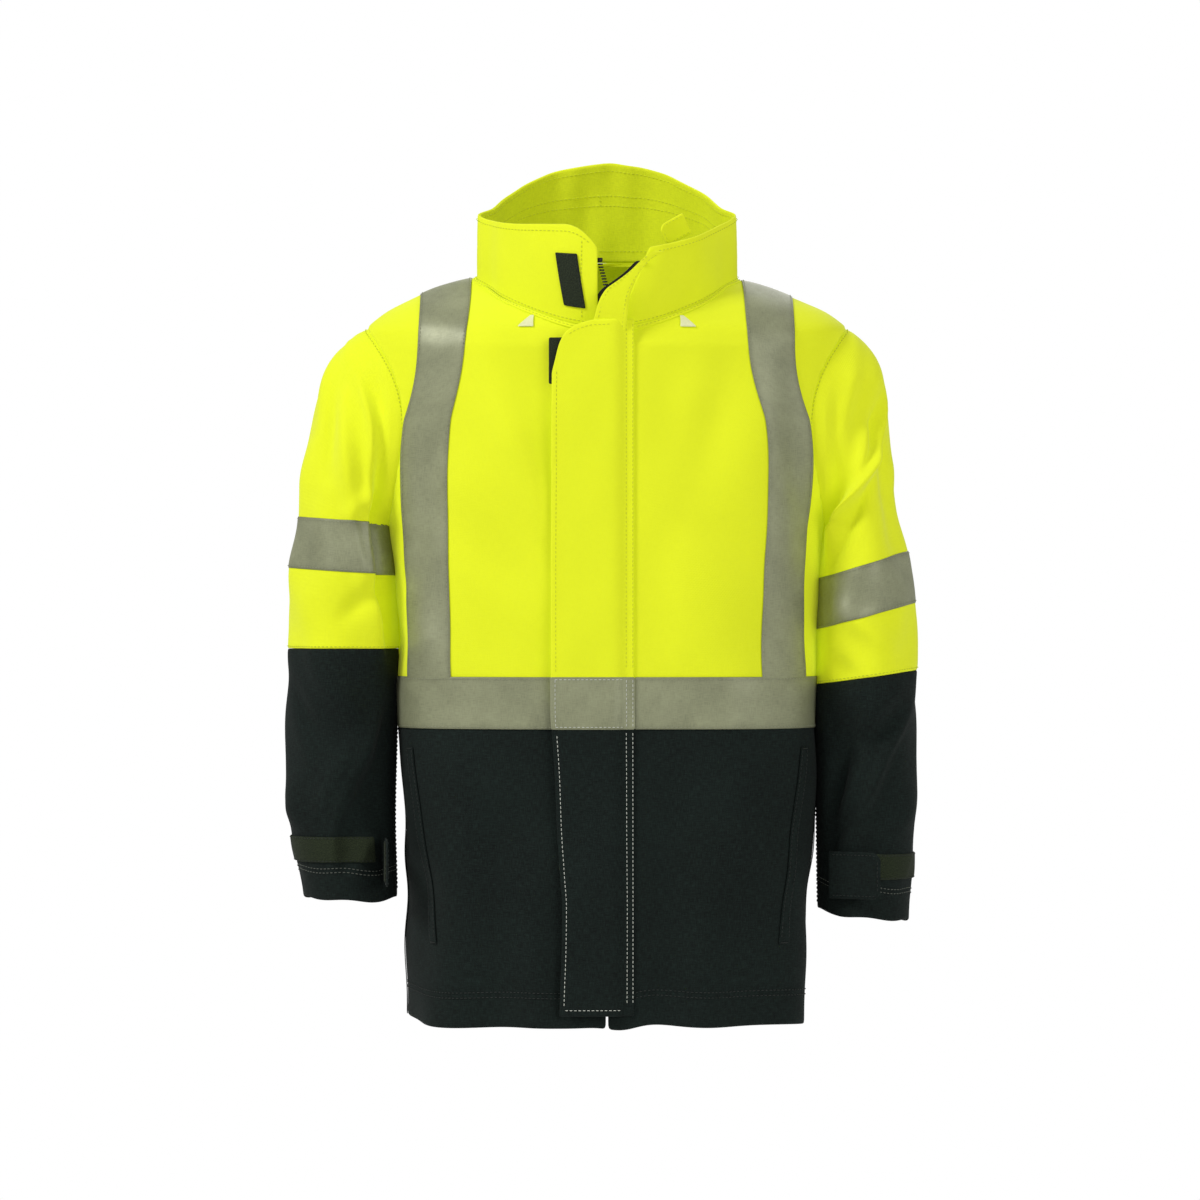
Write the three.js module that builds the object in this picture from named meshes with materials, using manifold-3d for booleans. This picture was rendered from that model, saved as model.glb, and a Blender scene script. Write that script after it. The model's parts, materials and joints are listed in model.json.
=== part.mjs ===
// High-visibility work coat, as worn: stand collar, zip under a storm flap, reflective tape.
// Millimetres, +Z up, the coat faces -Y. The origin is midway between the two side-neck points.
import * as THREE from 'three';
import { mergeVertices } from 'three/addons/utils/BufferGeometryUtils.js';
import Module from 'manifold-3d';

const wasm = await Module();
wasm.setup();

// ---- driving dimensions ----
const CLOTH = 1.6;            // thickness of the body cloth
const TAPE = 0.7;             // thickness of reflective tape
const GAP = 0.4;              // air between sewn layers
const INSIDE = 2;             // facings lie this far inside the faceted cloth
const TAPE_STAND = 2.8;       // tape and strips stand this far off the faceted cloth
const HEM_Z = -735;           // bottom edge of the coat
const TAPE_WIDTH = 50.8;      // two-inch reflective tape
const WAIST_TAPE_TOP = -398.4;
const SEAM_Z = WAIST_TAPE_TOP - TAPE_WIDTH / 2;   // seam between yellow and black, under the tape
const NECK_FRONT_Z = -62;     // neck seam at the front, side and back
const NECK_SIDE_Z = -6;
const NECK_BACK_Z = 12;
const COLLAR_FRONT_TOP = 38;  // top edge of the collar at the same places
const COLLAR_SIDE_TOP = 56;
const COLLAR_BACK_TOP = 92;
const SHOULDER_HALF = 238;    // half the width across the shoulder tips
const CHEST_HALF = 224;       // half widths further down
const WAIST_HALF = 206;
const HEM_HALF = 192;
const FRONT_DEPTH = 112;      // from the side seam plane forward to the zip, at the chest
const HEM_DEPTH = 122;
const BACK_DEPTH = 126;
const NECK_HALF = 114;
const ARMHOLE_Z = -155;       // armhole centre, half height and half depth
const ARMHOLE_HIGH = 95;
const ARMHOLE_DEEP = 66;
const ARMHOLE_EASE = 5;       // opening left round the sleeve head
const CUFF_HALF = 46;         // sleeve half width and half depth at the cuff
const CUFF_DEEP = 54;
const FLAP_EDGE_X = -50;      // free edge and sewn edge of the storm flap
const FLAP_HINGE_X = 17;
const FLAP_TOP_Z = -66;
const FLAP_BOTTOM_Z = HEM_Z + 11;
const FLAP_STAND = 6.5;        // how far the flap stands off the fronts, over the zip
const ZIP_TOP_Z = -74;
const ZIP_BOTTOM_Z = HEM_Z + 35;
const TOOTH_PITCH = 9;        // drawn coarser than a moulded zip's own pitch
const HOOK_WIDTH = 25;        // hook-and-loop strip
const TAB_LONG = 62;          // cuff tab
const TAB_HIGH = 46;
const BRACE_TOP_X = 157;      // brace tape centre at the ridge, at the chest and at the waist
const BRACE_CHEST_X = 178;
const BRACE_WAIST_X = 171;

const FRONT_EDGE_X = 7;       // front panels stop here, each side of the zip
const ZIP_TAPE_HALF = 16;
const TOOTH_IN = 1.1;         // each tooth row runs from here to TOOTH_OUT from the middle
const TOOTH_OUT = 4;
const WELT_WIDTH = 13;
const POCKET_TOP_Z = -467;
const POCKET_BOTTOM_Z = -657;

const RAD = Math.PI / 180;
const lerp = (a, b, t) => a + (b - a) * t;
const clamp = (v, low, high) => Math.min(high, Math.max(low, v));

// A smooth curve through [place, value] stations, with no overshoot.
function through(stations) {
  const s = [...stations].sort((p, q) => p[0] - q[0]);
  const slope = s.map((_, i) => {
    if (i === 0 || i === s.length - 1) return 0;
    const before = (s[i][1] - s[i - 1][1]) / (s[i][0] - s[i - 1][0]);
    const after = (s[i + 1][1] - s[i][1]) / (s[i + 1][0] - s[i][0]);
    return before * after <= 0 ? 0 : 2 * before * after / (before + after);
  });
  return (x) => {
    if (x <= s[0][0]) return s[0][1];
    if (x >= s[s.length - 1][0]) return s[s.length - 1][1];
    const i = s.findIndex((p) => p[0] > x) - 1;
    const h = s[i + 1][0] - s[i][0];
    const t = (x - s[i][0]) / h;
    const rise = s[i + 1][1] - s[i][1];
    const a = slope[i] * h;
    const b = slope[i + 1] * h;
    return s[i][1] + t * (a + t * (3 * rise - 2 * a - b + t * (a + b - 2 * rise)));
  };
}

// ---- the body: horizontal sections that are rounded rectangles ----
const halfWidth = through([
  [14, NECK_HALF - 4], [0, NECK_HALF - 1], [-6, NECK_HALF + 3], [-12, NECK_HALF + 30],
  [-26, SHOULDER_HALF - 55], [-46, SHOULDER_HALF - 16], [-62, SHOULDER_HALF], [-90, SHOULDER_HALF - 3],
  [-144, CHEST_HALF + 3], [-200, CHEST_HALF - 4], [-250, CHEST_HALF - 10], [-330, WAIST_HALF + 3],
  [-450, WAIST_HALF - 2], [-560, WAIST_HALF - 6], [-660, HEM_HALF + 3], [HEM_Z - 20, HEM_HALF],
]);
const frontLine = (z) => lerp(FRONT_DEPTH, HEM_DEPTH, (ZIP_TOP_Z - z) / (ZIP_TOP_Z - HEM_Z));
const neckSlope = through([
  [14, 30], [-6, 36], [-19, 52], [-30, 71], [-41, 86], [-52, 97], [-62, 105], [-78, 112], [-100, 125],
]);
const frontDepth = (z) => Math.min(frontLine(Math.min(z, ZIP_TOP_Z)), neckSlope(z));
const backDepth = through([
  [14, 86], [0, 98], [-20, 110], [-60, 119], [-120, BACK_DEPTH - 1], [-200, BACK_DEPTH + 2],
  [-300, BACK_DEPTH], [-450, BACK_DEPTH - 4], [HEM_Z - 20, BACK_DEPTH - 8],
]);
const squareness = through([[14, 2], [-62, 2.1], [-220, 2.7], [HEM_Z - 20, 2.7]]);

// A point on the body at a bearing: 0 is the front, 90 degrees the wearer's left, 180 the back.
function bodyPoint(bearing, z) {
  const s = Math.sin(bearing);
  const c = Math.cos(bearing);
  const n = squareness(z);
  const depth = c > 0 ? frontDepth(z) : backDepth(z);
  const r = (Math.abs(s) / halfWidth(z)) ** n + (Math.abs(c) / depth) ** n;
  const reach = r ** (-1 / n);
  return new THREE.Vector3(reach * s, -reach * c, z);
}

// The body at a sideways place: how deep it is there, on the front (-1) or the back (+1).
function depthAt(x, z, face) {
  const n = squareness(z);
  const depth = face < 0 ? frontDepth(z) : backDepth(z);
  return depth * Math.max(0, 1 - (Math.abs(x) / halfWidth(z)) ** n) ** (1 / n);
}
const facePoint = (x, z, face) => new THREE.Vector3(x, face * depthAt(x, z, face), z);

// How wide the body is at a place seen from the side.
function widthAt(y, z) {
  const n = squareness(z);
  const depth = y < 0 ? frontDepth(z) : backDepth(z);
  return halfWidth(z) * Math.max(0, 1 - (Math.abs(y) / depth) ** n) ** (1 / n);
}

// Where a sideways slice of the shoulder is met by a ray from its middle: 0 forward, 180 degrees back.
const CHEST_LEVEL = -150;
function overShoulder(x, turn) {
  let low = 0;
  let high = 2 * BACK_DEPTH;
  const at = (reach) => new THREE.Vector3(x, -reach * Math.cos(turn), CHEST_LEVEL + reach * Math.sin(turn));
  for (let i = 0; i < 40; i += 1) {
    const mid = (low + high) / 2;
    const p = at(mid);
    const inside = Math.abs(x) < halfWidth(p.z) && Math.abs(p.y) < depthAt(x, p.z, Math.sign(p.y) || 1);
    if (inside) low = mid;
    else high = mid;
  }
  return at(low);
}

// A height round the neck from its front, side and back values.
function aroundNeck(front, side, back) {
  const swing = (front - back) / 2;
  const even = (front + back) / 4 + side / 2;
  const fold = (front + back) / 4 - side / 2;
  return (bearing) => even + swing * Math.cos(bearing) + fold * Math.cos(2 * bearing);
}
const neckZ = aroundNeck(NECK_FRONT_Z, NECK_SIDE_Z, NECK_BACK_Z);
const collarTopZ = aroundNeck(COLLAR_FRONT_TOP, COLLAR_SIDE_TOP, COLLAR_BACK_TOP);

// ---- solids ----
// A closed cloth shell over a surface: columns u and rows v, from `low` to `high` off the surface.
// Outward is away from a vertical line at x = core. A wrapped shell is a tube.
function shell(surface, columns, rows, low, high, { wrap = false, core = 0 } = {}) {
  const small = 1e-4;
  const slopes = (u, v) => {
    const du = surface(u < 0.5 ? u + small : u, v).sub(surface(u < 0.5 ? u : u - small, v));
    const dv = surface(u, v < 0.5 ? v + small : v).sub(surface(u, v < 0.5 ? v : v - small));
    return du.cross(dv).normalize();
  };
  const sample = surface(0.45, 0.3);
  const away = slopes(0.45, 0.3).dot(sample.clone().sub(new THREE.Vector3(core, 0, sample.z)));
  const sense = Math.sign(away);
  const across = wrap ? columns : columns + 1;
  const down = rows + 1;
  const places = [[], []];
  for (let j = 0; j < down; j += 1) {
    for (let i = 0; i < across; i += 1) {
      const u = i / columns;
      const v = j / rows;
      const p = surface(u, v);
      const normal = slopes(u, v).multiplyScalar(sense);
      places[0].push(p.clone().addScaledVector(normal, low));
      places[1].push(p.clone().addScaledVector(normal, high));
    }
  }
  const count = across * down;
  const at = (layer, i, j) => layer * count + j * across + (i % across);
  const faces = [];
  const quad = (a, b, c, d) => faces.push(a, b, c, a, c, d);
  for (let j = 0; j < rows; j += 1) {
    for (let i = 0; i < columns; i += 1) {
      quad(at(1, i, j), at(1, i + 1, j), at(1, i + 1, j + 1), at(1, i, j + 1));
      quad(at(0, i, j + 1), at(0, i + 1, j + 1), at(0, i + 1, j), at(0, i, j));
    }
  }
  for (let i = 0; i < columns; i += 1) {
    quad(at(0, i, 0), at(0, i + 1, 0), at(1, i + 1, 0), at(1, i, 0));
    quad(at(1, i, rows), at(1, i + 1, rows), at(0, i + 1, rows), at(0, i, rows));
  }
  for (let j = 0; j < rows && !wrap; j += 1) {
    quad(at(1, 0, j), at(1, 0, j + 1), at(0, 0, j + 1), at(0, 0, j));
    quad(at(0, columns, j), at(0, columns, j + 1), at(1, columns, j + 1), at(1, columns, j));
  }
  const geometry = new THREE.BufferGeometry();
  const flat = places.flat().flatMap((p) => [p.x, p.y, p.z]);
  geometry.setAttribute('position', new THREE.Float32BufferAttribute(flat, 3));
  geometry.setIndex(faces);
  return outward(geometry);
}

// Turns the faces over when a shell came out inside out.
function outward(geometry) {
  const p = geometry.attributes.position;
  const index = geometry.index.array;
  const [a, b, c] = [new THREE.Vector3(), new THREE.Vector3(), new THREE.Vector3()];
  let volume = 0;
  for (let i = 0; i < index.length; i += 3) {
    a.fromBufferAttribute(p, index[i]);
    b.fromBufferAttribute(p, index[i + 1]);
    c.fromBufferAttribute(p, index[i + 2]);
    volume += a.dot(b.cross(c));
  }
  if (volume > 0) return geometry;
  const turned = [];
  for (let i = 0; i < index.length; i += 3) turned.push(index[i], index[i + 2], index[i + 1]);
  geometry.setIndex(turned);
  return geometry;
}

function toSolid(geometry) {
  const plain = geometry.clone();
  plain.deleteAttribute('normal');
  plain.deleteAttribute('uv');
  const merged = mergeVertices(plain, 1e-4);
  const vertProperties = new Float32Array(merged.attributes.position.array);
  const triVerts = new Uint32Array(merged.index.array);
  return new wasm.Manifold(new wasm.Mesh({ numProp: 3, vertProperties, triVerts }));
}

function toGeometry(solid) {
  const mesh = solid.getMesh();
  const geometry = new THREE.BufferGeometry();
  geometry.setAttribute('position', new THREE.Float32BufferAttribute(mesh.vertProperties, 3));
  geometry.setIndex([...mesh.triVerts]);
  return geometry;
}
const cut = (geometry, tool) => toGeometry(toSolid(geometry).subtract(toSolid(tool)));
const join = (first, ...rest) =>
  toGeometry(rest.reduce((solid, next) => solid.add(toSolid(next)), toSolid(first)));

// ---- materials and nodes ----
const finish = (color, roughness, metalness = 0) =>
  new THREE.MeshStandardMaterial({ color, roughness, metalness });
const YELLOW = finish('#e2f311', 0.85);
const BLACK = finish('#1b2221', 0.9);
const SILVER = finish('#9a9c76', 0.45);
const HOOK = finish('#171d10', 0.95);
const PLASTIC = finish('#101211', 0.4);
const PALE = finish('#f0f3c8', 0.8);

const coat = new THREE.Group();
function add(name, geometry, material) {
  const mesh = new THREE.Mesh(geometry, material);
  mesh.name = name;
  coat.add(mesh);
}
const SIDES = [['right', -1], ['left', 1]];

// ---- body panels ----
const front = (side) => (u, v, top, bottom) => {
  const edge = Math.atan2(FRONT_EDGE_X, frontDepth(bottom));
  const bearing = side * lerp(edge, 90 * RAD - SEAM_ALLOWANCE, u);
  const z = lerp(top(bearing), bottom, v);
  return bodyPoint(bearing, z);
};
const SEAM_ALLOWANCE = 0.003;
const back = (u, v, top, bottom) => {
  const bearing = lerp(90 * RAD + SEAM_ALLOWANCE, 270 * RAD - SEAM_ALLOWANCE, u);
  return bodyPoint(bearing, lerp(top(bearing), bottom, v));
};
const crowd = (v) => v ** 2;
const level = (z) => () => z;
const neckEdge = (bearing) => neckZ(bearing) - GAP;

function ovalBar(deep, high, z, side) {
  const outline = new THREE.Shape().absellipse(0, 0, deep, high, 0, Math.PI * 2, false, 0);
  const bar = new THREE.ExtrudeGeometry(outline, { depth: 200, bevelEnabled: false, curveSegments: 36 });
  bar.rotateY(side * Math.PI / 2);
  bar.translate(side * 150, 0, z);
  return bar;
}
const armholes = SIDES.map(([, side]) =>
  ovalBar(ARMHOLE_DEEP + ARMHOLE_EASE, ARMHOLE_HIGH + ARMHOLE_EASE, ARMHOLE_Z, side));

SIDES.forEach(([name, side], i) => {
  const panel = front(side);
  const upper = shell((u, v) => panel(u, crowd(v), neckEdge, SEAM_Z), 14, 16, -CLOTH, 0);
  add(`front_upper_${name}`, cut(upper, armholes[i]), YELLOW);
  const lower = shell((u, v) => panel(u, v, level(SEAM_Z - GAP), HEM_Z), 12, 4, -CLOTH, 0);
  add(`front_lower_${name}`, lower, BLACK);
});
const backUpper = shell((u, v) => back(u, crowd(v), neckEdge, SEAM_Z), 26, 16, -CLOTH, 0);
add('back_upper', cut(cut(backUpper, armholes[0]), armholes[1]), YELLOW);
add('back_lower', shell((u, v) => back(u, v, level(SEAM_Z - GAP), HEM_Z), 22, 4, -CLOTH, 0), BLACK);

// the hem's turned-up edge, inside the lower panels
const HEM_TURN = 33;
const hemInner = (z) => level(z + HEM_TURN);
SIDES.forEach(([name, side]) => {
  const turn = shell((u, v) => front(side)(lerp(0.12, 1, u), v, hemInner(HEM_Z), HEM_Z + 1),
    12, 1, -CLOTH - INSIDE - CLOTH, -CLOTH - INSIDE);
  add(`hem_facing_front_${name}`, turn, BLACK);
});
add('hem_facing_back', shell((u, v) => back(u, v, hemInner(HEM_Z), HEM_Z + 1),
  22, 1, -CLOTH - INSIDE - CLOTH, -CLOTH - INSIDE), BLACK);

// ---- reflective tape on the body ----
const tapeLow = TAPE_STAND;
const tapeHigh = TAPE_STAND + TAPE;
const waistBottom = WAIST_TAPE_TOP - TAPE_WIDTH;
SIDES.forEach(([name, side]) => {
  const start = side > 0 ? (FLAP_HINGE_X + 12) / FRONT_DEPTH : 22 / FRONT_DEPTH;
  const band = shell((u, v) => {
    const bearing = side * lerp(start, 90 * RAD - SEAM_ALLOWANCE, u);
    return bodyPoint(bearing, lerp(WAIST_TAPE_TOP, waistBottom, v));
  }, 12, 1, tapeLow, tapeHigh);
  add(`waist_tape_front_${name}`, band, SILVER);
});
add('waist_tape_back', shell((u, v) =>
  back(u, v, level(WAIST_TAPE_TOP), waistBottom), 24, 1, tapeLow, tapeHigh), SILVER);

// A brace runs from the waist tape at the front, over the shoulder, to the waist tape at the back.
const braceMiddle = through([
  [-20, BRACE_TOP_X], [-200, BRACE_CHEST_X], [WAIST_TAPE_TOP, BRACE_WAIST_X],
]);
const OVER = 0.5;             // share of the brace that lies over the shoulder
function bracePoint(side, u, v) {
  const t = 2 * v - 1;
  const along = Math.min(Math.abs(t) / OVER, 1);
  const drop = clamp((Math.abs(t) - OVER) / (1 - OVER), 0, 1);
  const z = lerp(CHEST_LEVEL, WAIST_TAPE_TOP + 1, drop);
  const middle = braceMiddle(along < 1 ? lerp(-20, CHEST_LEVEL, along * along) : z);
  const x = side * (middle + (u - 0.5) * lerp(TAPE_WIDTH, 0.9 * TAPE_WIDTH, along));
  if (along === 1) return facePoint(x, z, Math.sign(t));
  return overShoulder(x, Math.PI / 2 * (1 + t / OVER));
}
SIDES.forEach(([name, side]) => {
  const brace = shell((u, v) => bracePoint(side, u, v), 3, 32, tapeLow, tapeHigh);
  add(`brace_tape_${name}`, brace, SILVER);
});

// ---- sleeves ----
const MIDDLE = (a, b) => (a + b) / 2;
const SLEEVES = {
  right: {
    outer: through([[-150, 287], [-216, 296], [-289, 305], [-370, 313], [-486, 315], [-560, 309], [-620, 298]]),
    inner: through([[-216, 219], [-300, 215], [-420, 212], [-540, 209], [-620, 207]]),
    seam: -372, bandTop: -243, bandTilt: -7, cuff: -617, strip: [-15, 128],
  },
  left: {
    outer: through([[-150, 262], [-216, 277], [-289, 292], [-370, 303], [-486, 304], [-572, 302], [-636, 297]]),
    inner: through([[-216, 219], [-300, 215], [-420, 211], [-540, 207], [-636, 208]]),
    seam: -400, bandTop: -277, bandTilt: -26, cuff: -634, strip: [-20, 95],
  },
};
const sleeveDepth = through([
  [-216, ARMHOLE_DEEP], [-300, ARMHOLE_DEEP + 2], [-420, ARMHOLE_DEEP - 2], [-560, CUFF_DEEP + 3],
  [-640, CUFF_DEEP],
]);
const CAP_END = -236;         // where the sleeve head has become a tube, and how far that line slopes
const CAP_SLOPE = 19;
const capEnd = (angle) => CAP_END + CAP_SLOPE * Math.cos(angle);

// A point on the straight part: angle 0 is the outside of the arm, 90 degrees its front.
function armPoint(name, side, angle, z) {
  const { outer, inner } = SLEEVES[name];
  const middle = MIDDLE(outer(z), inner(z));
  const half = (outer(z) - inner(z)) / 2;
  return new THREE.Vector3(side * (middle + half * Math.cos(angle)), -sleeveDepth(z) * Math.sin(angle), z);
}
const RIM = 3;                // the sleeve head starts this far outside the body's surface
// The sleeve head, v from 0 at the armhole to 1 where the straight part starts.
function headPoint(name, side, angle, v) {
  const y = -ARMHOLE_DEEP * Math.sin(angle);
  const z = ARMHOLE_Z + ARMHOLE_HIGH * Math.cos(angle);
  const start = new THREE.Vector3(side * (widthAt(y, z) + RIM), y, z);
  const end = armPoint(name, side, angle, capEnd(angle));
  const reach = start.distanceTo(end);
  const droop = lerp(5, 30, (1 + Math.cos(angle)) / 2) * RAD;
  const t0 = new THREE.Vector3(side * Math.cos(droop), 0, -Math.sin(droop)).multiplyScalar(reach);
  const t1 = new THREE.Vector3(0, 0, -reach);
  const [s, q] = [v * v * (3 - 2 * v), v * v * v];
  return start.multiplyScalar(1 - s).addScaledVector(end, s)
    .addScaledVector(t0, q - 2 * v * v + v).addScaledVector(t1, q - v * v);
}
const ringAngle = (side, u) => side * u * 2 * Math.PI;

SIDES.forEach(([name, side]) => {
  const sleeve = SLEEVES[name];
  const tube = { wrap: true, core: side * (WAIST_HALF + CUFF_HALF) };
  const headRows = 7;
  const armRows = 3;
  const upper = shell((u, v) => {
    const angle = ringAngle(side, u);
    const k = v * (headRows + armRows) / headRows;
    if (k <= 1) return headPoint(name, side, angle, k);
    const t = (v * (headRows + armRows) - headRows) / armRows;
    return armPoint(name, side, angle, lerp(capEnd(angle), sleeve.seam, t));
  }, 22, headRows + armRows, -CLOTH, 0, tube);
  add(`sleeve_upper_${name}`, upper, YELLOW);
  const lower = shell((u, v) => armPoint(name, side, ringAngle(side, u),
    lerp(sleeve.seam - GAP, sleeve.cuff, v)), 20, 5, -CLOTH, 0, tube);
  add(`sleeve_lower_${name}`, lower, BLACK);
  const band = shell((u, v) => {
    const angle = ringAngle(side, u);
    const slope = sleeve.bandTilt * (1 - Math.cos(angle)) / 2;
    return armPoint(name, side, angle, sleeve.bandTop + slope - v * TAPE_WIDTH);
  }, 22, 1, tapeLow, tapeHigh, tube);
  add(`sleeve_tape_${name}`, band, SILVER);
  const turn = shell((u, v) => armPoint(name, side, ringAngle(side, u),
    lerp(sleeve.cuff + HEM_TURN, sleeve.cuff + 1, v)), 20, 1, -CLOTH - INSIDE - CLOTH, -CLOTH - INSIDE, tube);
  add(`cuff_facing_${name}`, turn, BLACK);
  // the loop strip lies round the front of the cuff, below the outside of the arm
  const strip = shell((u, v) => armPoint(name, side, lerp(...sleeve.strip, u) * RAD,
    sleeve.cuff + 62 - v * HOOK_WIDTH), 10, 1, tapeLow, tapeLow + 1.6, { core: tube.core });
  add(`cuff_loop_strip_${name}`, strip, HOOK);
});

// ---- cuff tabs: sewn to the inside front of the cuff, standing open ----
function plate(x0, x1, y0, y1, z0, z1) {
  const box = new THREE.BoxGeometry(x1 - x0, y1 - y0, z1 - z0);
  box.translate((x0 + x1) / 2, (y0 + y1) / 2, (z0 + z1) / 2);
  return box;
}
const TAB_THICK = 2.4;
// place: the sewn end, as x and y; bearing: which way the tab points, 0 is forward, 90 to +X
const TABS = {
  right: { x: -216, y: -38, bearing: 4, middle: -579 },
  left: { x: 214, y: -46, bearing: 55, middle: -592 },
};
SIDES.forEach(([name]) => {
  const tab = TABS[name];
  const turn = (geometry) => {
    geometry.rotateZ(tab.bearing * RAD);
    geometry.translate(tab.x, tab.y, tab.middle);
    return geometry;
  };
  const root = -TAB_THICK;
  const body = plate(-TAB_THICK / 2, TAB_THICK / 2, -TAB_LONG, root, -TAB_HIGH / 2, TAB_HIGH / 2);
  add(`cuff_tab_${name}`, turn(body), BLACK);
  const inner = tab.bearing > 30 ? 1 : -1;
  const near = inner * (TAB_THICK / 2 + GAP);
  const far = inner * (TAB_THICK / 2 + GAP + 1.2);
  const hook = plate(Math.min(near, far), Math.max(near, far), -TAB_LONG + 4, -TAB_LONG + 34, -20, 20);
  add(`cuff_tab_hook_${name}`, turn(hook), HOOK);
});

// ---- collar ----
const LEAN = through([[0, 5], [90, 6], [180, -16]]);    // how far the top edge leans outward
const rightGuardEdge = (h) => lerp(FLAP_HINGE_X + 5, 52, h ** 1.3);
function collarPoint(bearing, h) {
  const base = bodyPoint(bearing, neckZ(bearing));
  const out = new THREE.Vector3(base.x, base.y, 0).normalize();
  const turn = Math.abs(bearing) / RAD;
  const front = Math.max(0, Math.cos(bearing)) ** 2;
  const roll = bearing > 0 ? 26 * front : 0;
  const top = collarTopZ(bearing) - roll;
  const lean = LEAN(turn > 180 ? 360 - turn : turn);
  const bulge = 5 * Math.sin(Math.PI * h);
  return base.addScaledVector(out, lean * h + bulge).setZ(lerp(neckZ(bearing) + GAP, top, h));
}
const collarSpan = (u, h) => {
  const from = -Math.atan2(9, FRONT_DEPTH);
  const to = -2 * Math.PI + Math.atan2(rightGuardEdge(h), FRONT_DEPTH);
  return lerp(from, to, u);
};
const wrapBearing = (b) => (b < -Math.PI ? b + 2 * Math.PI : b);
const collarSurface = (u, v) => collarPoint(wrapBearing(collarSpan(u, 1 - v)), 1 - v);
add('collar_outer', shell(collarSurface, 36, 4, -CLOTH, 0), YELLOW);
const COLLAR_ROOM = 6.5;      // air between the collar and its facing, which follow different chords
const facing = (u, v) => collarSurface(lerp(0.02, 0.98, u), lerp(0.02, 0.72, v));
add('collar_facing', shell(facing, 36, 4, -2 * CLOTH - COLLAR_ROOM, -CLOTH - COLLAR_ROOM), YELLOW);

// the patch hangs a little askew, its foot nearer the zip
const patchSpot = (u, v) =>
  collarPoint(-(lerp(24, 46, u) + lerp(5, -3, v)) / FRONT_DEPTH, lerp(0.7, 0.17, v));
add('collar_hook_patch', shell(patchSpot, 3, 4, GAP, GAP + 1.6), HOOK);

// pale tabs in the collar seam that a hood fastens to
const HOOD_TAB_BEARING = 38 * RAD;
SIDES.forEach(([name, side]) => {
  const tab = shell((u, v) => bodyPoint(side * (HOOD_TAB_BEARING + (u - 0.5) * 0.11),
    neckZ(HOOD_TAB_BEARING) - 4 - 11 * v), 2, 1, tapeLow, tapeLow + 1);
  add(`hood_tab_${name}`, tab, PALE);
});

// the chin tab is sewn inside the left front of the collar and hangs free from that edge
const CHIN = { x: 78, y: -58, z: 42, bearing: -62, long: 30, high: 22 };
const chin = plate(-CHIN.long, 0, -1, 1, -CHIN.high / 2, CHIN.high / 2);
chin.rotateY(-28 * RAD);
chin.rotateZ((90 + CHIN.bearing) * RAD);
chin.translate(CHIN.x, CHIN.y, CHIN.z);
add('chin_tab', chin, YELLOW);

// ---- the front closing: everything lies along one straight, slightly leaning line ----
const frontLean = Math.atan2(HEM_DEPTH - FRONT_DEPTH, ZIP_TOP_Z - HEM_Z);
// Puts a piece drawn with y = 0 on the front's surface, and z as it is, onto that line.
function onFront(geometry) {
  geometry.translate(0, 0, -ZIP_TOP_Z);
  geometry.rotateX(-frontLean);
  geometry.translate(0, -FRONT_DEPTH, ZIP_TOP_Z);
  return geometry;
}

// zip tapes behind the front edges
SIDES.forEach(([name, side]) => {
  const [a, b] = [side * (TOOTH_OUT + GAP), side * ZIP_TAPE_HALF];
  const tape = plate(Math.min(a, b), Math.max(a, b), CLOTH + INSIDE, CLOTH + INSIDE + 1,
    ZIP_BOTTOM_Z, ZIP_TOP_Z - 2);
  add(`zip_tape_${name}`, onFront(tape), BLACK);
});
// teeth: one toothed bar a side, joined by the cord that they are moulded on
const ZIP_BACK = CLOTH + INSIDE + 1 + GAP;
const TOOTH_DEEP = 3;
SIDES.forEach(([name, side]) => {
  const outline = new THREE.Shape();
  const count = Math.floor((ZIP_TOP_Z - ZIP_BOTTOM_Z - 20) / TOOTH_PITCH);
  const start = ZIP_BOTTOM_Z + 12;
  const cord = TOOTH_OUT - 1.2;
  outline.moveTo(side * TOOTH_OUT, start);
  for (let i = 0; i < count; i += 1) {
    const z = start + i * TOOTH_PITCH;
    outline.lineTo(side * cord, z);
    outline.lineTo(side * TOOTH_IN, z + 0.2 * TOOTH_PITCH);
    outline.lineTo(side * TOOTH_IN, z + 0.5 * TOOTH_PITCH);
    outline.lineTo(side * cord, z + 0.7 * TOOTH_PITCH);
  }
  outline.lineTo(side * TOOTH_OUT, start + count * TOOTH_PITCH);
  const teeth = new THREE.ExtrudeGeometry(outline, { depth: TOOTH_DEEP, bevelEnabled: false });
  teeth.rotateX(Math.PI / 2);
  teeth.translate(0, ZIP_BACK, 0);
  add(`zip_teeth_${name}`, onFront(teeth), PLASTIC);
  const stopZ = start + count * TOOTH_PITCH + 1;
  const [a, b] = [side * TOOTH_IN, side * TOOTH_OUT];
  const stop = plate(Math.min(a, b), Math.max(a, b), ZIP_BACK - TOOTH_DEEP, ZIP_BACK, stopZ, stopZ + 4);
  add(`zip_top_stop_${name}`, onFront(stop), PLASTIC);
});
const toothMiddle = ZIP_BACK - TOOTH_DEEP / 2;
const box = plate(-TOOTH_OUT, TOOTH_OUT, toothMiddle - 3, toothMiddle + 3, ZIP_BOTTOM_Z - 1, ZIP_BOTTOM_Z + 11);
add('zip_bottom_box', onFront(box), PLASTIC);

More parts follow.
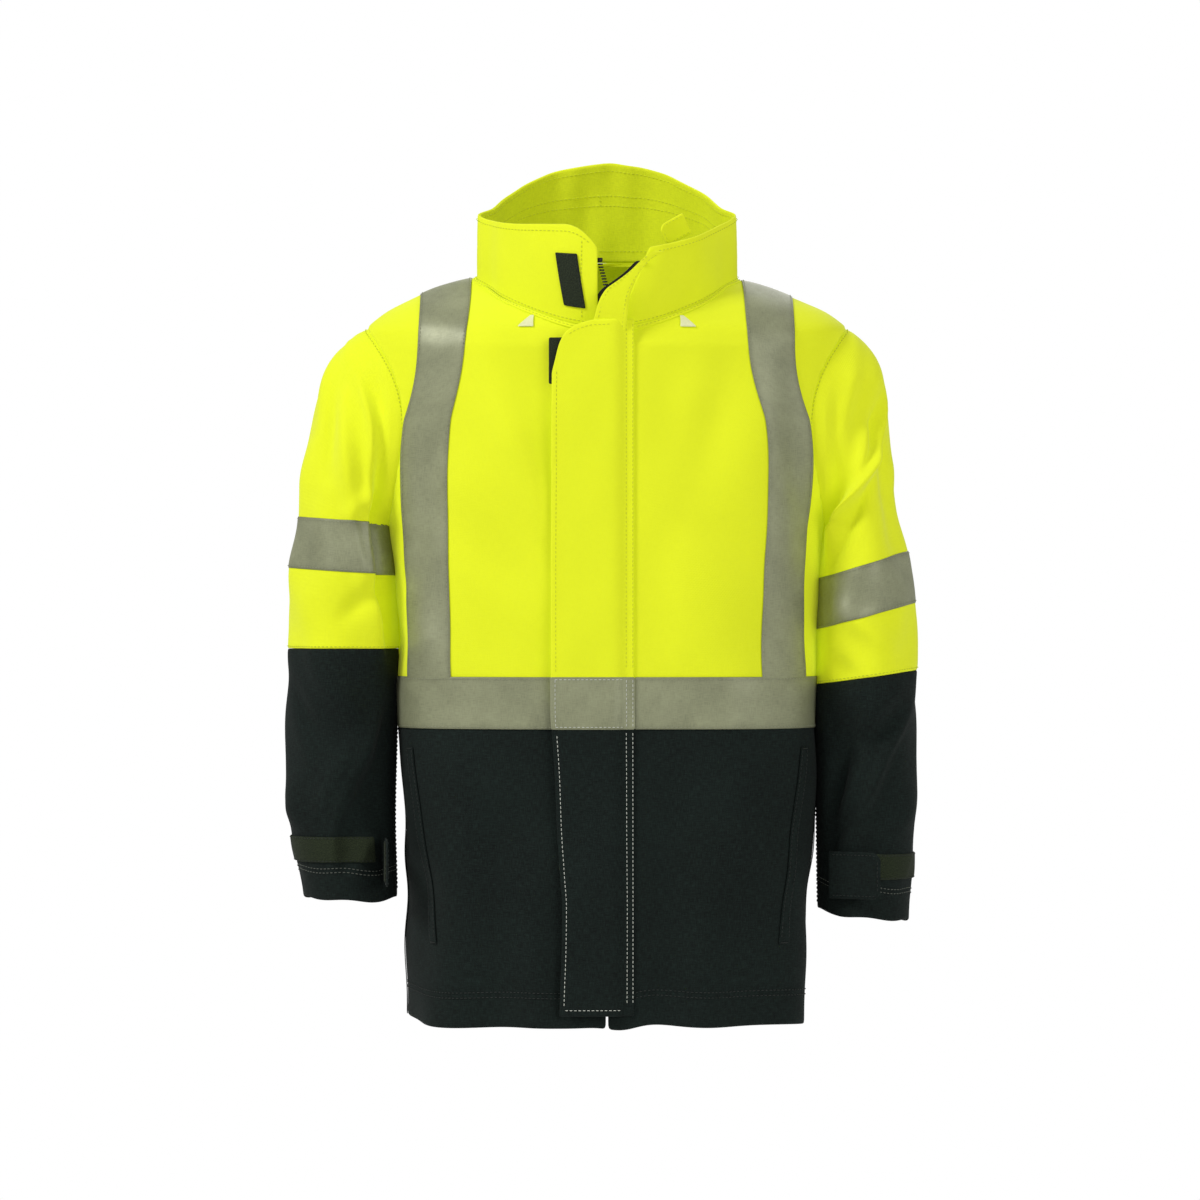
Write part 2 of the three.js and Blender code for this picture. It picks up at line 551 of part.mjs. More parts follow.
// slider: a plate before and a plate behind the teeth, joined by a post that runs between the rows
const SLIDER_TOP = ZIP_TOP_Z - 10;
const SLIDER_LONG = 15;
const SLIDER_HALF = 5.5;
const PULL_HOLE = 1.7;
const sliderLow = SLIDER_TOP - SLIDER_LONG;
const beforeTeeth = ZIP_BACK - TOOTH_DEEP - GAP;
const behindTeeth = ZIP_BACK + GAP;
function stud(radius, nearY, farY, z) {
  const bar = new THREE.CylinderGeometry(radius, radius, farY - nearY, 20);
  bar.translate(0, (nearY + farY) / 2, z);
  return bar;
}
const pivotZ = SLIDER_TOP - 6;
const slider = join(
  plate(-SLIDER_HALF, SLIDER_HALF, beforeTeeth - 1.2, beforeTeeth, sliderLow, SLIDER_TOP),
  plate(-SLIDER_HALF, SLIDER_HALF, behindTeeth, behindTeeth + 1.2, sliderLow, SLIDER_TOP),
  plate(-0.6, 0.6, beforeTeeth - 0.5, behindTeeth + 0.5, SLIDER_TOP - 5, SLIDER_TOP - 0.5),
  stud(1.3, -2.6, beforeTeeth - 0.5, pivotZ),
  stud(2.5, -3.4, -2.5, pivotZ),
);
add('zip_slider', onFront(slider), PLASTIC);
const pullOutline = new THREE.Shape().moveTo(-3.2, pivotZ - 30).lineTo(3.2, pivotZ - 30)
  .lineTo(2.6, pivotZ + 2).quadraticCurveTo(0, pivotZ + 5, -2.6, pivotZ + 2).closePath();
pullOutline.holes.push(new THREE.Path().absellipse(0, pivotZ, PULL_HOLE, PULL_HOLE, 0, Math.PI * 2, true));
const puller = new THREE.ExtrudeGeometry(pullOutline, { depth: 1.2, bevelEnabled: false, curveSegments: 12 });
puller.rotateX(Math.PI / 2);
puller.translate(0, -0.9, 0);
add('zip_puller', onFront(puller), PLASTIC);

// ---- storm flap ----
const flapInner = -FLAP_STAND;
const flapOuter = -FLAP_STAND - CLOTH;
const flapFold = FLAP_HINGE_X - GAP;
function flat(outline, nearY, thick) {
  const piece = new THREE.ExtrudeGeometry(outline, { depth: thick, bevelEnabled: false, curveSegments: 8 });
  piece.rotateX(Math.PI / 2);
  piece.translate(0, nearY + thick, 0);
  return onFront(piece);
}
const FLAP_CORNER = 24;
const upperFlap = new THREE.Shape().moveTo(flapFold, SEAM_Z).lineTo(flapFold, FLAP_TOP_Z)
  .lineTo(FLAP_EDGE_X + 1.4 * FLAP_CORNER, FLAP_TOP_Z)
  .quadraticCurveTo(FLAP_EDGE_X, FLAP_TOP_Z, FLAP_EDGE_X, FLAP_TOP_Z - FLAP_CORNER)
  .lineTo(FLAP_EDGE_X - 3, SEAM_Z).closePath();
add('storm_flap_upper', flat(upperFlap, flapOuter, CLOTH), YELLOW);
const lowerFlap = new THREE.Shape().moveTo(flapFold, SEAM_Z - GAP).lineTo(FLAP_EDGE_X - 3, SEAM_Z - GAP)
  .lineTo(FLAP_EDGE_X + 3, FLAP_BOTTOM_Z).lineTo(flapFold, FLAP_BOTTOM_Z).closePath();
add('storm_flap_lower', flat(lowerFlap, flapOuter, CLOTH), BLACK);
add('storm_flap_tape', onFront(plate(FLAP_EDGE_X - 3, flapFold, flapOuter - GAP - TAPE, flapOuter - GAP,
  waistBottom, WAIST_TAPE_TOP)), SILVER);
// the flap's sewn edge: a strip that stays on the left front
[['upper', FLAP_TOP_Z, SEAM_Z, YELLOW], ['lower', SEAM_Z - GAP, FLAP_BOTTOM_Z, BLACK]]
  .forEach(([part, top, bottom, material]) => {
    const strip = plate(FLAP_HINGE_X + GAP, FLAP_HINGE_X + 9, flapInner, -2 * GAP, bottom, top);
    add(`storm_flap_seam_${part}`, onFront(strip), material);
  });

// hook strips on the right front and the loop strips that meet them, behind the flap
const STRIPS = [['top', -72], ['chest', -250], ['waist', -540]];
const STRIP_LONG = 45;
const LOOP_THICK = 1.1;
STRIPS.forEach(([place, top]) => {
  const left = place === 'top' ? FLAP_EDGE_X - 6 : FLAP_EDGE_X + 4;
  const hook = plate(left, left + HOOK_WIDTH, -3 * LOOP_THICK - GAP, -2 * LOOP_THICK - GAP,
    top - STRIP_LONG, top);
  add(`placket_hook_${place}`, onFront(hook), HOOK);
  const right = FLAP_EDGE_X + 6;
  const loop = plate(right, right + HOOK_WIDTH, flapInner + GAP, flapInner + GAP + LOOP_THICK,
    top - STRIP_LONG - 4, top - 18);
  add(`flap_loop_${place}`, onFront(loop), HOOK);
});

// ---- collar guard: the tongue that carries the flap on, up the open edge of the collar ----
const guardFree = through([[0, -14], [0.25, -6], [0.5, 13], [0.75, 30], [1, 47]]);
const guardSewn = through([[0, 20], [0.25, 22], [0.5, 30], [0.75, 40], [1, 53]]);
const GUARD_TOP = 11;
const guardPoint = (u, v) => {
  const x = lerp(guardFree(v), guardSewn(v), u);
  const stand = FLAP_STAND + 5 * Math.sin(Math.PI * v) + 6 * v;
  const away = Math.max(0, x - FLAP_HINGE_X);
  const y = -(FRONT_DEPTH - 5) - stand + away * away / 110;
  return new THREE.Vector3(x, y, lerp(FLAP_TOP_Z + 3, GUARD_TOP, v));
};
add('collar_guard', shell(guardPoint, 6, 10, -CLOTH, 0), YELLOW);

// ---- slanted pockets ----
const WELT_BEARINGS = [73 * RAD, 64 * RAD];
SIDES.forEach(([name, side]) => {
  const weltShare = WELT_WIDTH / WAIST_HALF;
  const welt = shell((u, v) => bodyPoint(side * (lerp(...WELT_BEARINGS, v) + weltShare * (u - 0.5)),
    lerp(POCKET_TOP_Z, POCKET_BOTTOM_Z, v)), 2, 8, tapeLow, tapeLow + CLOTH);
  add(`pocket_welt_${name}`, welt, BLACK);
  const bagHigh = -CLOTH - 2 * INSIDE;
  const bag = shell((u, v) => bodyPoint(side * lerp(40, 74, u) * RAD,
    lerp(POCKET_TOP_Z + 5, POCKET_BOTTOM_Z - 35, v)), 7, 5, bagHigh - 2.4, bagHigh);
  add(`pocket_bag_${name}`, bag, BLACK);
});

export default coat;
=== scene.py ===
"""A high-visibility work coat, dressed over its frame: cloth panels, reflective tape, zip, collar, cuffs.

Shapes are worked out in millimetres, +Z up, the coat facing -Y, and turned to metres when a mesh is made.
"""
import json
import logging
import math
from dataclasses import dataclass
from enum import Enum
from typing import Any, Callable, Optional, Sequence

import bpy
import mathutils
import numpy as np
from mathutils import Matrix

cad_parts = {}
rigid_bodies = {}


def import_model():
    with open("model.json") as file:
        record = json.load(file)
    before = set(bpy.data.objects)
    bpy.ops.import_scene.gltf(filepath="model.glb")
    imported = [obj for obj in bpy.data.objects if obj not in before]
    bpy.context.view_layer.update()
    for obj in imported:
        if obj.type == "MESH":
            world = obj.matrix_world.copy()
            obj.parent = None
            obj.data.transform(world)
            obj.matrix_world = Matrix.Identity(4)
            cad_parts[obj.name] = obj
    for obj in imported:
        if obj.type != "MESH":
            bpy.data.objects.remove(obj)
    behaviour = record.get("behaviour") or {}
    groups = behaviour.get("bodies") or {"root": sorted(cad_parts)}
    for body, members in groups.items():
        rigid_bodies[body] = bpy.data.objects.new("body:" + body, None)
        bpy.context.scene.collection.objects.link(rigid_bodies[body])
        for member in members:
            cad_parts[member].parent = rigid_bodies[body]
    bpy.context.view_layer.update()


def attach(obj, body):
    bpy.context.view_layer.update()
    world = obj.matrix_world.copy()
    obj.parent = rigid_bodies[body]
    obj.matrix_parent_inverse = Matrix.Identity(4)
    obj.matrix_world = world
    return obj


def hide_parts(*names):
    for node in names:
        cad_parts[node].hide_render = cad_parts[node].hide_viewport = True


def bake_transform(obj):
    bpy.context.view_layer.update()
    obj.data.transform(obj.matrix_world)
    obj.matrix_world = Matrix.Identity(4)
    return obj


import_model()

MM = 0.001
RAD = math.pi / 180
LOG = logging.getLogger("coat")
Array = np.ndarray
Curve = Callable[[Array], Array]
Surface = Callable[[Array, Array], Array]


class Side(Enum):
    """The wearer's right is at -X and the left at +X."""

    RIGHT = -1
    LEFT = 1

    @property
    def word(self) -> str:
        """The side's name as the frame's nodes spell it."""
        return self.name.lower()


# ---------------------------------------------------------------- numbers and curves
def through(stations: Sequence[tuple[float, float]]) -> Curve:
    """Makes a smooth curve through stations, with no overshoot.

    Args:
        stations: pairs of place and value.

    Returns:
        A function of an array of places.
    """
    s = np.array(sorted(stations), dtype=float)
    x, y = s[:, 0], s[:, 1]
    slope = np.diff(y) / np.diff(x)
    tangent = np.zeros(len(x))
    before, after = slope[:-1], slope[1:]
    same = before * after > 0
    tangent[1:-1][same] = (2 * before * after)[same] / (before + after)[same]

    def curve(at: Array) -> Array:
        """Reads the curve, held level past its ends."""
        at = np.clip(np.asarray(at, dtype=float), x[0], x[-1])
        i = np.clip(np.searchsorted(x, at, side="right") - 1, 0, len(x) - 2)
        h = x[i + 1] - x[i]
        t = (at - x[i]) / h
        rise = y[i + 1] - y[i]
        a, b = tangent[i] * h, tangent[i + 1] * h
        return y[i] + t * (a + t * (3 * rise - 2 * a - b + t * (a + b - 2 * rise)))

    return curve


def mix(a: Any, b: Any, t: Any) -> Any:
    """Goes from a to b as t goes from 0 to 1."""
    return a + (b - a) * t


def points(x: Any, y: Any, z: Any) -> Array:
    """Joins coordinates into rows of x, y, z."""
    x, y, z = np.broadcast_arrays(x, y, z)
    return np.stack([x, y, z], axis=-1).astype(float)


def srgb(code: str) -> tuple[float, float, float, float]:
    """Turns a hex colour into linear RGBA.

    Args:
        code: six hex digits, with or without a leading #.

    Returns:
        Linear red, green, blue and a full alpha.
    """
    raw = [int(code.lstrip("#")[i : i + 2], 16) / 255 for i in (0, 2, 4)]
    r, g, b = (c / 12.92 if c <= 0.04045 else ((c + 0.055) / 1.055) ** 2.4 for c in raw)
    return (r, g, b, 1.0)


# ---------------------------------------------------------------- finishes
def add(tree: bpy.types.NodeTree, kind: str, settings: Optional[dict[str, Any]] = None,
        **inputs: Any) -> bpy.types.Node:
    """Adds a node, with its settings and its inputs as values or links.

    Args:
        tree: the node tree.
        kind: the node's type, without the ShaderNode prefix.
        settings: attributes to set on the node.
        **inputs: input values or output sockets; _ stands for a space, and i0, i1 for a place.

    Returns:
        The new node.
    """
    node = tree.nodes.new("ShaderNode" + kind)
    for key, value in (settings or {}).items():
        setattr(node, key, value)
    for key, value in inputs.items():
        place = int(key[1:]) if key[0] == "i" and key[1:].isdigit() else key.replace("_", " ")
        if isinstance(value, bpy.types.NodeSocket):
            tree.links.new(value, node.inputs[place])
        else:
            node.inputs[place].default_value = value
    return node


WAVE_PERIOD = 2 * math.pi / 20      # a wave texture's period at scale 1


@dataclass(frozen=True)
class Finish:
    """A cloth or plastic finish: its colours, its thread and how it takes light."""

    name: str
    colour: str
    shade: str                      # the colour that fine threads and patches vary towards
    roughness: float = 0.85
    thread_mm: float = 1.3          # real thread is about 0.5 mm apart: drawn coarser, so that it shows
    thread_bump: float = 0.25
    twill: float = 0.0              # how far the weave slants, 0 for plain weave
    slub: float = 0.35              # how much single threads vary in colour
    patch: float = 0.25             # how much broad patches vary
    patch_scale: float = 9.0        # patches to the metre
    fuzz: float = 0.0               # short standing fibres, as on hook-and-loop strip
    sheen: float = 0.0
    glow: float = 0.0               # painted glow: emission in the cloth's own colour, which shines whatever light falls on it
    metallic: float = 0.0
    ior: float = 1.5
    edge_shade: float = 0.0         # painted shade: a dark line along the edges of coated tape

    def build(self) -> bpy.types.Material:
        """Makes the material once.

        Returns:
            The material.
        """
        if self.name in bpy.data.materials:
            return bpy.data.materials[self.name]
        material = bpy.data.materials.new(self.name)
        material.use_nodes = True
        tree = material.node_tree
        tree.nodes.clear()
        cloth = add(tree, "UVMap", {"uv_map": "Cloth"}).outputs["UV"]
        colour = self._colour(tree, cloth)
        height = self._height(tree, cloth)
        bump = add(tree, "Bump", Strength=self.thread_bump, Distance=0.0006, Height=height)
        grain = add(tree, "TexNoise", Vector=cloth, Scale=260.0, Detail=3.0)
        rough = add(tree, "MapRange", Value=grain.outputs["Fac"], To_Min=self.roughness - 0.08,
                    To_Max=self.roughness + 0.08)
        shader = add(tree, "BsdfPrincipled", Base_Color=colour, Normal=bump.outputs["Normal"],
                     Roughness=rough.outputs["Result"], Metallic=self.metallic, IOR=self.ior,
                     Sheen_Weight=self.sheen, Sheen_Roughness=0.45)
        # Painted glow: the finish's own colour given off as light, so that it shines whatever lamps fall on
        # it.
        shader.inputs["Emission Color"].default_value = srgb(self.colour)
        shader.inputs["Emission Strength"].default_value = self.glow
        add(tree, "OutputMaterial", Surface=shader.outputs["BSDF"])
        return material

    def _colour(self, tree: bpy.types.NodeTree, cloth: bpy.types.NodeSocket) -> bpy.types.NodeSocket:
        """Varies the colour thread by thread and patch by patch.

        Args:
            tree: the node tree.
            cloth: the cloth's own coordinates, in metres.

        Returns:
            The colour socket.
        """
        long = 900.0 if self.fuzz else 140.0                   # threads run on; standing fibres don't
        along = add(tree, "Mapping", Vector=cloth, Scale=(1400.0, long, 1.0))
        across = add(tree, "Mapping", Vector=cloth, Scale=(long, 1400.0, 1.0))
        warp = add(tree, "TexNoise", Vector=along.outputs[0], Scale=1.0, Detail=2.0)
        weft = add(tree, "TexNoise", Vector=across.outputs[0], Scale=1.0, Detail=2.0)
        threads = add(tree, "Math", {"operation": "MULTIPLY"}, i0=warp.outputs["Fac"],
                      i1=weft.outputs["Fac"])
        slub = add(tree, "MapRange", Value=threads.outputs[0], From_Min=0.16, From_Max=0.4,
                   To_Min=0.0, To_Max=self.slub)
        broad = add(tree, "TexNoise", Vector=cloth, Scale=self.patch_scale, Detail=4.0,
                    Roughness=0.6)
        patch = add(tree, "MapRange", Value=broad.outputs["Fac"], From_Min=0.35, From_Max=0.75,
                    To_Min=0.0, To_Max=self.patch)
        total = add(tree, "Math", {"operation": "ADD", "use_clamp": True}, i0=slub.outputs[0],
                    i1=patch.outputs[0])
        blend = add(tree, "Mix", {"data_type": "RGBA"}, Factor=total.outputs[0])
        colours = [s for s in blend.inputs if s.type == "RGBA"]
        colours[0].default_value = srgb(self.colour)
        colours[1].default_value = srgb(self.shade)
        out = [s for s in blend.outputs if s.type == "RGBA"][0]
        if not self.edge_shade:
            return out
        # Painted shade: the colour darkens along the marked edges of the tape.
        edge = add(tree, "Attribute", {"attribute_name": "edge"})
        dark = add(tree, "Mix", {"data_type": "RGBA", "blend_type": "MULTIPLY"},
                   Factor=edge.outputs["Fac"])
        inputs = [s for s in dark.inputs if s.type == "RGBA"]
        tree.links.new(out, inputs[0])
        keep = 1 - self.edge_shade
        inputs[1].default_value = (keep, keep, keep, 1.0)
        return [s for s in dark.outputs if s.type == "RGBA"][0]

    def _height(self, tree: bpy.types.NodeTree, cloth: bpy.types.NodeSocket) -> bpy.types.NodeSocket:
        """Builds the weave's relief, with fibres standing up where the finish is fuzzy.

        Args:
            tree: the node tree.
            cloth: the cloth's own coordinates, in metres.

        Returns:
            The height socket, from 0 to about 1.
        """
        scale = WAVE_PERIOD / (self.thread_mm * MM)
        turned = add(tree, "Mapping", Vector=cloth, Rotation=(0.0, 0.0, self.twill))
        warp = add(tree, "TexWave", {"bands_direction": "X"}, Vector=turned.outputs[0], Scale=scale,
                   Distortion=0.6, Detail=1.0)
        weft = add(tree, "TexWave", {"bands_direction": "Y"}, Vector=cloth, Scale=scale,
                   Distortion=0.6, Detail=1.0)
        weave = add(tree, "Math", {"operation": "MULTIPLY"}, i0=warp.outputs["Fac"],
                    i1=weft.outputs["Fac"])
        fibre = add(tree, "TexNoise", Vector=cloth, Scale=mix(500.0, 1400.0, self.fuzz), Detail=5.0)
        return add(tree, "Mix", {"data_type": "FLOAT"}, Factor=mix(0.25, 0.95, self.fuzz),
                   i2=weave.outputs[0], i3=fibre.outputs["Fac"]).outputs[0]


# Aramid and cotton twill dyed with a fluorescent dye: it looks brighter than white cloth in daylight; its
# glow here is painted light, an emission that shines whatever the lamps.
YELLOW_TWILL = Finish("fluorescent_yellow_twill", "#ECF616", "#D8E30A", roughness=0.9, twill=0.55,
                      thread_bump=0.22, slub=0.2, patch=0.25, sheen=0.1, glow=0.09)
# A painted-shade copy of the same cloth for the inside of the coat: no painted glow and a darker mix, for
# where shade falls, with the twill running the other way as on the cloth's back.
YELLOW_BACK_PAINTED_SHADE = Finish("fluorescent_yellow_twill_back", "#EAF41C", "#CBD80E", roughness=0.95, twill=-0.55,
                     thread_bump=0.25, slub=0.5, patch=0.35)
# Near-black indigo and green cotton twill: pale fibres show between the dyed threads.
BLACK_TWILL = Finish("black_cotton_twill", "#0A100E", "#1D2A26", roughness=0.92, twill=0.6,
                     thread_bump=0.45, slub=0.75, patch=0.3, sheen=0.02, ior=1.3)
# Glass-bead tape: a grey-green satin face with a fine grain. Its broad light and dark patches are partly
# random tone and partly painted sheen for the satin's highlights, and the dark line along its edges is
# painted shade.
BEAD_TAPE = Finish("glass_bead_tape", "#A3A684", "#84876A", roughness=0.46, thread_mm=1.1,
                   thread_bump=0.12, slub=0.5, patch=0.8, metallic=0.18, patch_scale=17.0, edge_shade=0.15)
# Nylon hook strip: short stiff hooks, so it drinks light; the pale specks in its colour are partly fibre tone
# and partly painted glints at single points.
HOOK_STRIP = Finish("nylon_hook_strip", "#0C1009", "#3A4430", roughness=0.85, thread_mm=1.6,
                    thread_bump=1.0, fuzz=1.0, slub=1.0, patch=0.2, sheen=0.03, ior=1.3)
# Nylon loop strip: a flat brushed pile.
LOOP_STRIP = Finish("nylon_loop_strip", "#10150C", "#38422C", roughness=0.95, thread_mm=1.8,
                    thread_bump=1.0, fuzz=0.9, slub=1.0, patch=0.3, sheen=0.03, ior=1.3)
ZIP_TAPE = Finish("knitted_zip_tape", "#090B0B", "#181C1D", roughness=0.85, thread_mm=1.0,
                  thread_bump=0.5, slub=0.5)
# Moulded polyoxymethylene: slick, with faint flow marks.
MOULDED = Finish("moulded_acetal", "#0D0F10", "#1D2022", roughness=0.32, thread_bump=0.05, slub=0.3,
                 ior=1.48)
PALE_BINDING = Finish("pale_cotton_binding", "#F2F4C4", "#D9DC9C", roughness=0.9, thread_mm=1.0,
                      thread_bump=0.3)
PALE_THREAD = Finish("pale_grey_thread", "#DADDD2", "#B4B8AC", roughness=0.6, thread_mm=0.7,
                     thread_bump=0.3, slub=0.4)
TAPE_THREAD = Finish("tape_grey_thread", "#9FA288", "#85886F", roughness=0.6, thread_mm=0.7,
                     thread_bump=0.3, slub=0.4)
# Yellow thread, coloured darker than the cloth as painted shade in its stitch holes, and given a painted
# glow.
YELLOW_THREAD = Finish("yellow_thread", "#D3DC22", "#B9C30E", roughness=0.6, thread_mm=0.7,
                       thread_bump=0.3, slub=0.3, glow=0.08)
BLACK_THREAD = Finish("black_thread", "#161B18", "#2A312D", roughness=0.6, thread_mm=0.7,
                      thread_bump=0.3, slub=0.4)
DIM_THREAD = Finish("grey_thread", "#5E635A", "#454A43", roughness=0.6, thread_mm=0.7,
                    thread_bump=0.3, slub=0.4)
FLOOR_PAINT = Finish("matt_floor_paint", "#F4F4F2", "#EDEDEA", roughness=0.9, thread_bump=0.02,
                     slub=0.1, patch=0.2)


# ---------------------------------------------------------------- meshes
@dataclass
class Net:
    """A mesh in the making: points in millimetres, faces, and the cloth's coordinates at each corner."""

    verts: Array
    faces: list[tuple[int, ...]]
    corners: Array                  # cloth coordinates in metres, one row for each face corner
    edge: Optional[Array] = None    # how near each point is to a slit edge, 0 to 1, which sets the painted edge shade

    @staticmethod
    def joined(nets: Sequence["Net"]) -> "Net":
        """Puts several nets in one."""
        faces: list[tuple[int, ...]] = []
        start = 0
        for net in nets:
            faces += [tuple(i + start for i in face) for face in net.faces]
            start += len(net.verts)
        return Net(np.concatenate([n.verts for n in nets]), faces,
                   np.concatenate([n.corners for n in nets]))


def slopes(surface: Surface, u: Array, v: Array) -> Array:
    """Finds a surface's unit normals by small steps.

    Args:
        surface: the surface.
        u: places across, 0 to 1.
        v: places along, 0 to 1.

    Returns:
        Unit normals.
    """
    step = 1e-4
    du = surface(np.where(u < 0.5, u + step, u), v) - surface(np.where(u < 0.5, u, u - step), v)
    dv = surface(u, np.where(v < 0.5, v + step, v)) - surface(u, np.where(v < 0.5, v, v - step))
    n = np.cross(du, dv)
    return n / np.maximum(np.linalg.norm(n, axis=-1, keepdims=True), 1e-12)


def shell(surface: Surface, columns: int, rows: int, low: float, high: float, wrap: bool = False,
          core: float = 0.0, relief: Optional[Callable[[Array], Array]] = None,
          tape_edges: bool = False) -> Net:
    """Makes a closed sheet of cloth over a surface.

    Args:
        surface: gives points in millimetres for u across and v along.
        columns: steps across.
        rows: steps along.
        low: how far off the surface the cloth's back lies.
        high: how far off the surface its face lies.
        wrap: joins the last column to the first.
        core: x of the upright line that the face looks away from.
        relief: how far each point rises with the folds.
        tape_edges: marks both long edges as slit, for the painted edge shade.

    Returns:
        The net.
    """
    across = columns if wrap else columns + 1
    u, v = np.meshgrid(np.arange(across) / columns, np.arange(rows + 1) / rows)
    u, v = u.ravel(), v.ravel()
    base = surface(u, v)
    normal = slopes(surface, u, v)
    away = np.sum((normal * (base - points(core, 0, base[:, 2])))[:, :2], axis=1)
    normal *= 1 if np.median(away) > 0 else -1
    rise = relief(base) if relief else np.zeros(len(base))
    count = len(base)
    layers = [base + normal * (low + rise)[:, None], base + normal * (high + rise)[:, None]]
    grid = base.reshape(rows + 1, across, 3)
    middle_row = grid[(rows + 1) // 2]
    wide = np.linalg.norm(np.diff(middle_row, axis=0), axis=1).sum() * MM
    tall = np.linalg.norm(np.diff(grid[:, across // 2], axis=0), axis=1).sum() * MM
    faces: list[tuple[int, ...]] = []
    corners: list[tuple[float, float]] = []

    def at(layer: int, i: int, j: int) -> int:
        """Gives a point's number."""
        return layer * count + j * across + i % across

    def face(*spots: tuple[int, int, int]) -> None:
        """Adds a face by layer, column and row."""
        faces.append(tuple(at(*s) for s in spots))
        corners.extend((i / columns * wide, j / rows * tall) for _, i, j in spots)

    for j in range(rows):
        for i in range(columns):
            face((1, i, j), (1, i, j + 1), (1, i + 1, j + 1), (1, i + 1, j))
            face((0, i, j), (0, i + 1, j), (0, i + 1, j + 1), (0, i, j + 1))
    for i in range(columns):
        face((0, i, 0), (1, i, 0), (1, i + 1, 0), (0, i + 1, 0))
        face((1, i, rows), (0, i, rows), (0, i + 1, rows), (1, i + 1, rows))
    if not wrap:
        for j in range(rows):
            face((1, 0, j), (0, 0, j), (0, 0, j + 1), (1, 0, j + 1))
            face((0, columns, j), (1, columns, j), (1, columns, j + 1), (0, columns, j + 1))
    edge = None
    if tape_edges:
        near = np.maximum(1 - np.minimum(v, 1 - v) * rows / 0.9, 0)
        edge = np.concatenate([near, near])
    net = Net(np.concatenate(layers), faces, np.array(corners), edge)
    return outward(net)


def outward(net: Net) -> Net:
    """Turns every face over where the net came out inside out."""
    faces = np.array(net.faces)
    a, b, c, d = (net.verts[faces[:, k]] for k in range(4))
    volume = np.sum(a * np.cross(b, c)) + np.sum(a * np.cross(c, d))
    if volume >= 0:
        return net
    corners = net.corners.reshape(-1, 4, 2)[:, ::-1].reshape(-1, 2)
    return Net(net.verts, [tuple(face) for face in faces[:, ::-1].tolist()], corners, net.edge)


def make(name: str, net: Net, finish: Finish, smooth: int = 1, body: Optional[str] = "root",
         replaces: Sequence[str] = ()) -> bpy.types.Object:
    """Makes a dressed piece from a net and sets it in the frame.

    Args:
        name: the piece's name.
        net: its mesh, in millimetres.
        finish: its finish.
        smooth: levels of subdivision, which round the cloth's edges.
        body: the body that it rides on, or None for no body.
        replaces: the frame's nodes that it stands for.

    Returns:
        The piece.
    """
    mesh = bpy.data.meshes.new(name)
    mesh.from_pydata((net.verts * MM).tolist(), [], net.faces)
    layer = mesh.uv_layers.new(name="Cloth")
    layer.data.foreach_set("uv", net.corners.astype(np.float32).ravel())
    if net.edge is not None:
        mesh.attributes.new("edge", "FLOAT", "POINT").data.foreach_set("value", net.edge)
    mesh.polygons.foreach_set("use_smooth", [True] * len(mesh.polygons))
    mesh.materials.append(finish.build())
    piece = bpy.data.objects.new(name, mesh)
    bpy.context.scene.collection.objects.link(piece)
    if smooth:
        round_off = piece.modifiers.new("Round", "SUBSURF")
        round_off.levels = round_off.render_levels = smooth
        bpy.context.view_layer.objects.active = piece
        piece.select_set(True)
        bpy.ops.object.modifier_apply(modifier=round_off.name)
        piece.select_set(False)
    if body:
        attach(piece, body)
    if replaces:
        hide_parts(*replaces)
    return piece


def stitches(path: Array, normals: Array, pitch: float = 4.2, length: float = 2.7,
             radius: float = 0.45, start: float = 0.0) -> Net:
    """Lays a row of lockstitches along a path.

    Args:
        path: points that the row follows, in millimetres.
        normals: the cloth's unit normals there.
        pitch: from one stitch to the next.
        length: each stitch's length on the face.
        radius: the thread's radius.
        start: where along the path the row starts.

    Returns:
        The net of every stitch.
    """
    run = np.concatenate([[0], np.cumsum(np.linalg.norm(np.diff(path, axis=0), axis=1))])
    heads = np.arange(start + length, run[-1] - length, pitch)
    sides = 6
    turn = np.arange(sides) * 2 * np.pi / sides
    rings = [(-0.5, 0.25), (-0.36, 0.9), (0.0, 1.0), (0.36, 0.9), (0.5, 0.25)]
    verts, faces = [], []

    def read(table: Array, at: Array) -> Array:
        """Reads a table along the path."""
        return np.stack([np.interp(at, run, table[:, k]) for k in range(3)], axis=1)

    for head in heads:
        ends = read(path, np.array([head - length / 2, head, head + length / 2]))
        ahead = ends[2] - ends[0]
        ahead /= np.linalg.norm(ahead) + 1e-9
        up = read(normals, np.array([head]))[0]
        up /= np.linalg.norm(up) + 1e-9
        side = np.cross(ahead, up)
        base = len(verts) * sides
        for place, fat in rings:
            crown = up * (radius * (0.55 - 2.2 * place * place))
            ring = (ends[1] + ahead * place * length + crown
                    + np.outer(np.cos(turn), side) * radius * fat + np.outer(np.sin(turn), up) * radius * fat)
            verts.append(ring)
        last = len(rings) - 1
        for r in range(last):
            for k in range(sides):
                n = (k + 1) % sides
                faces.append((base + r * sides + k, base + r * sides + n,
                              base + (r + 1) * sides + n, base + (r + 1) * sides + k))
        faces.append(tuple(base + k for k in reversed(range(sides))))
        faces.append(tuple(base + last * sides + k for k in range(sides)))
    total = sum(len(f) for f in faces)
    return Net(np.concatenate(verts), faces, np.tile([[0.0, 0.0], [0.001, 0.0], [0.001, 0.001],
               [0.0, 0.001]], (total // 4 + 1, 1))[:total])


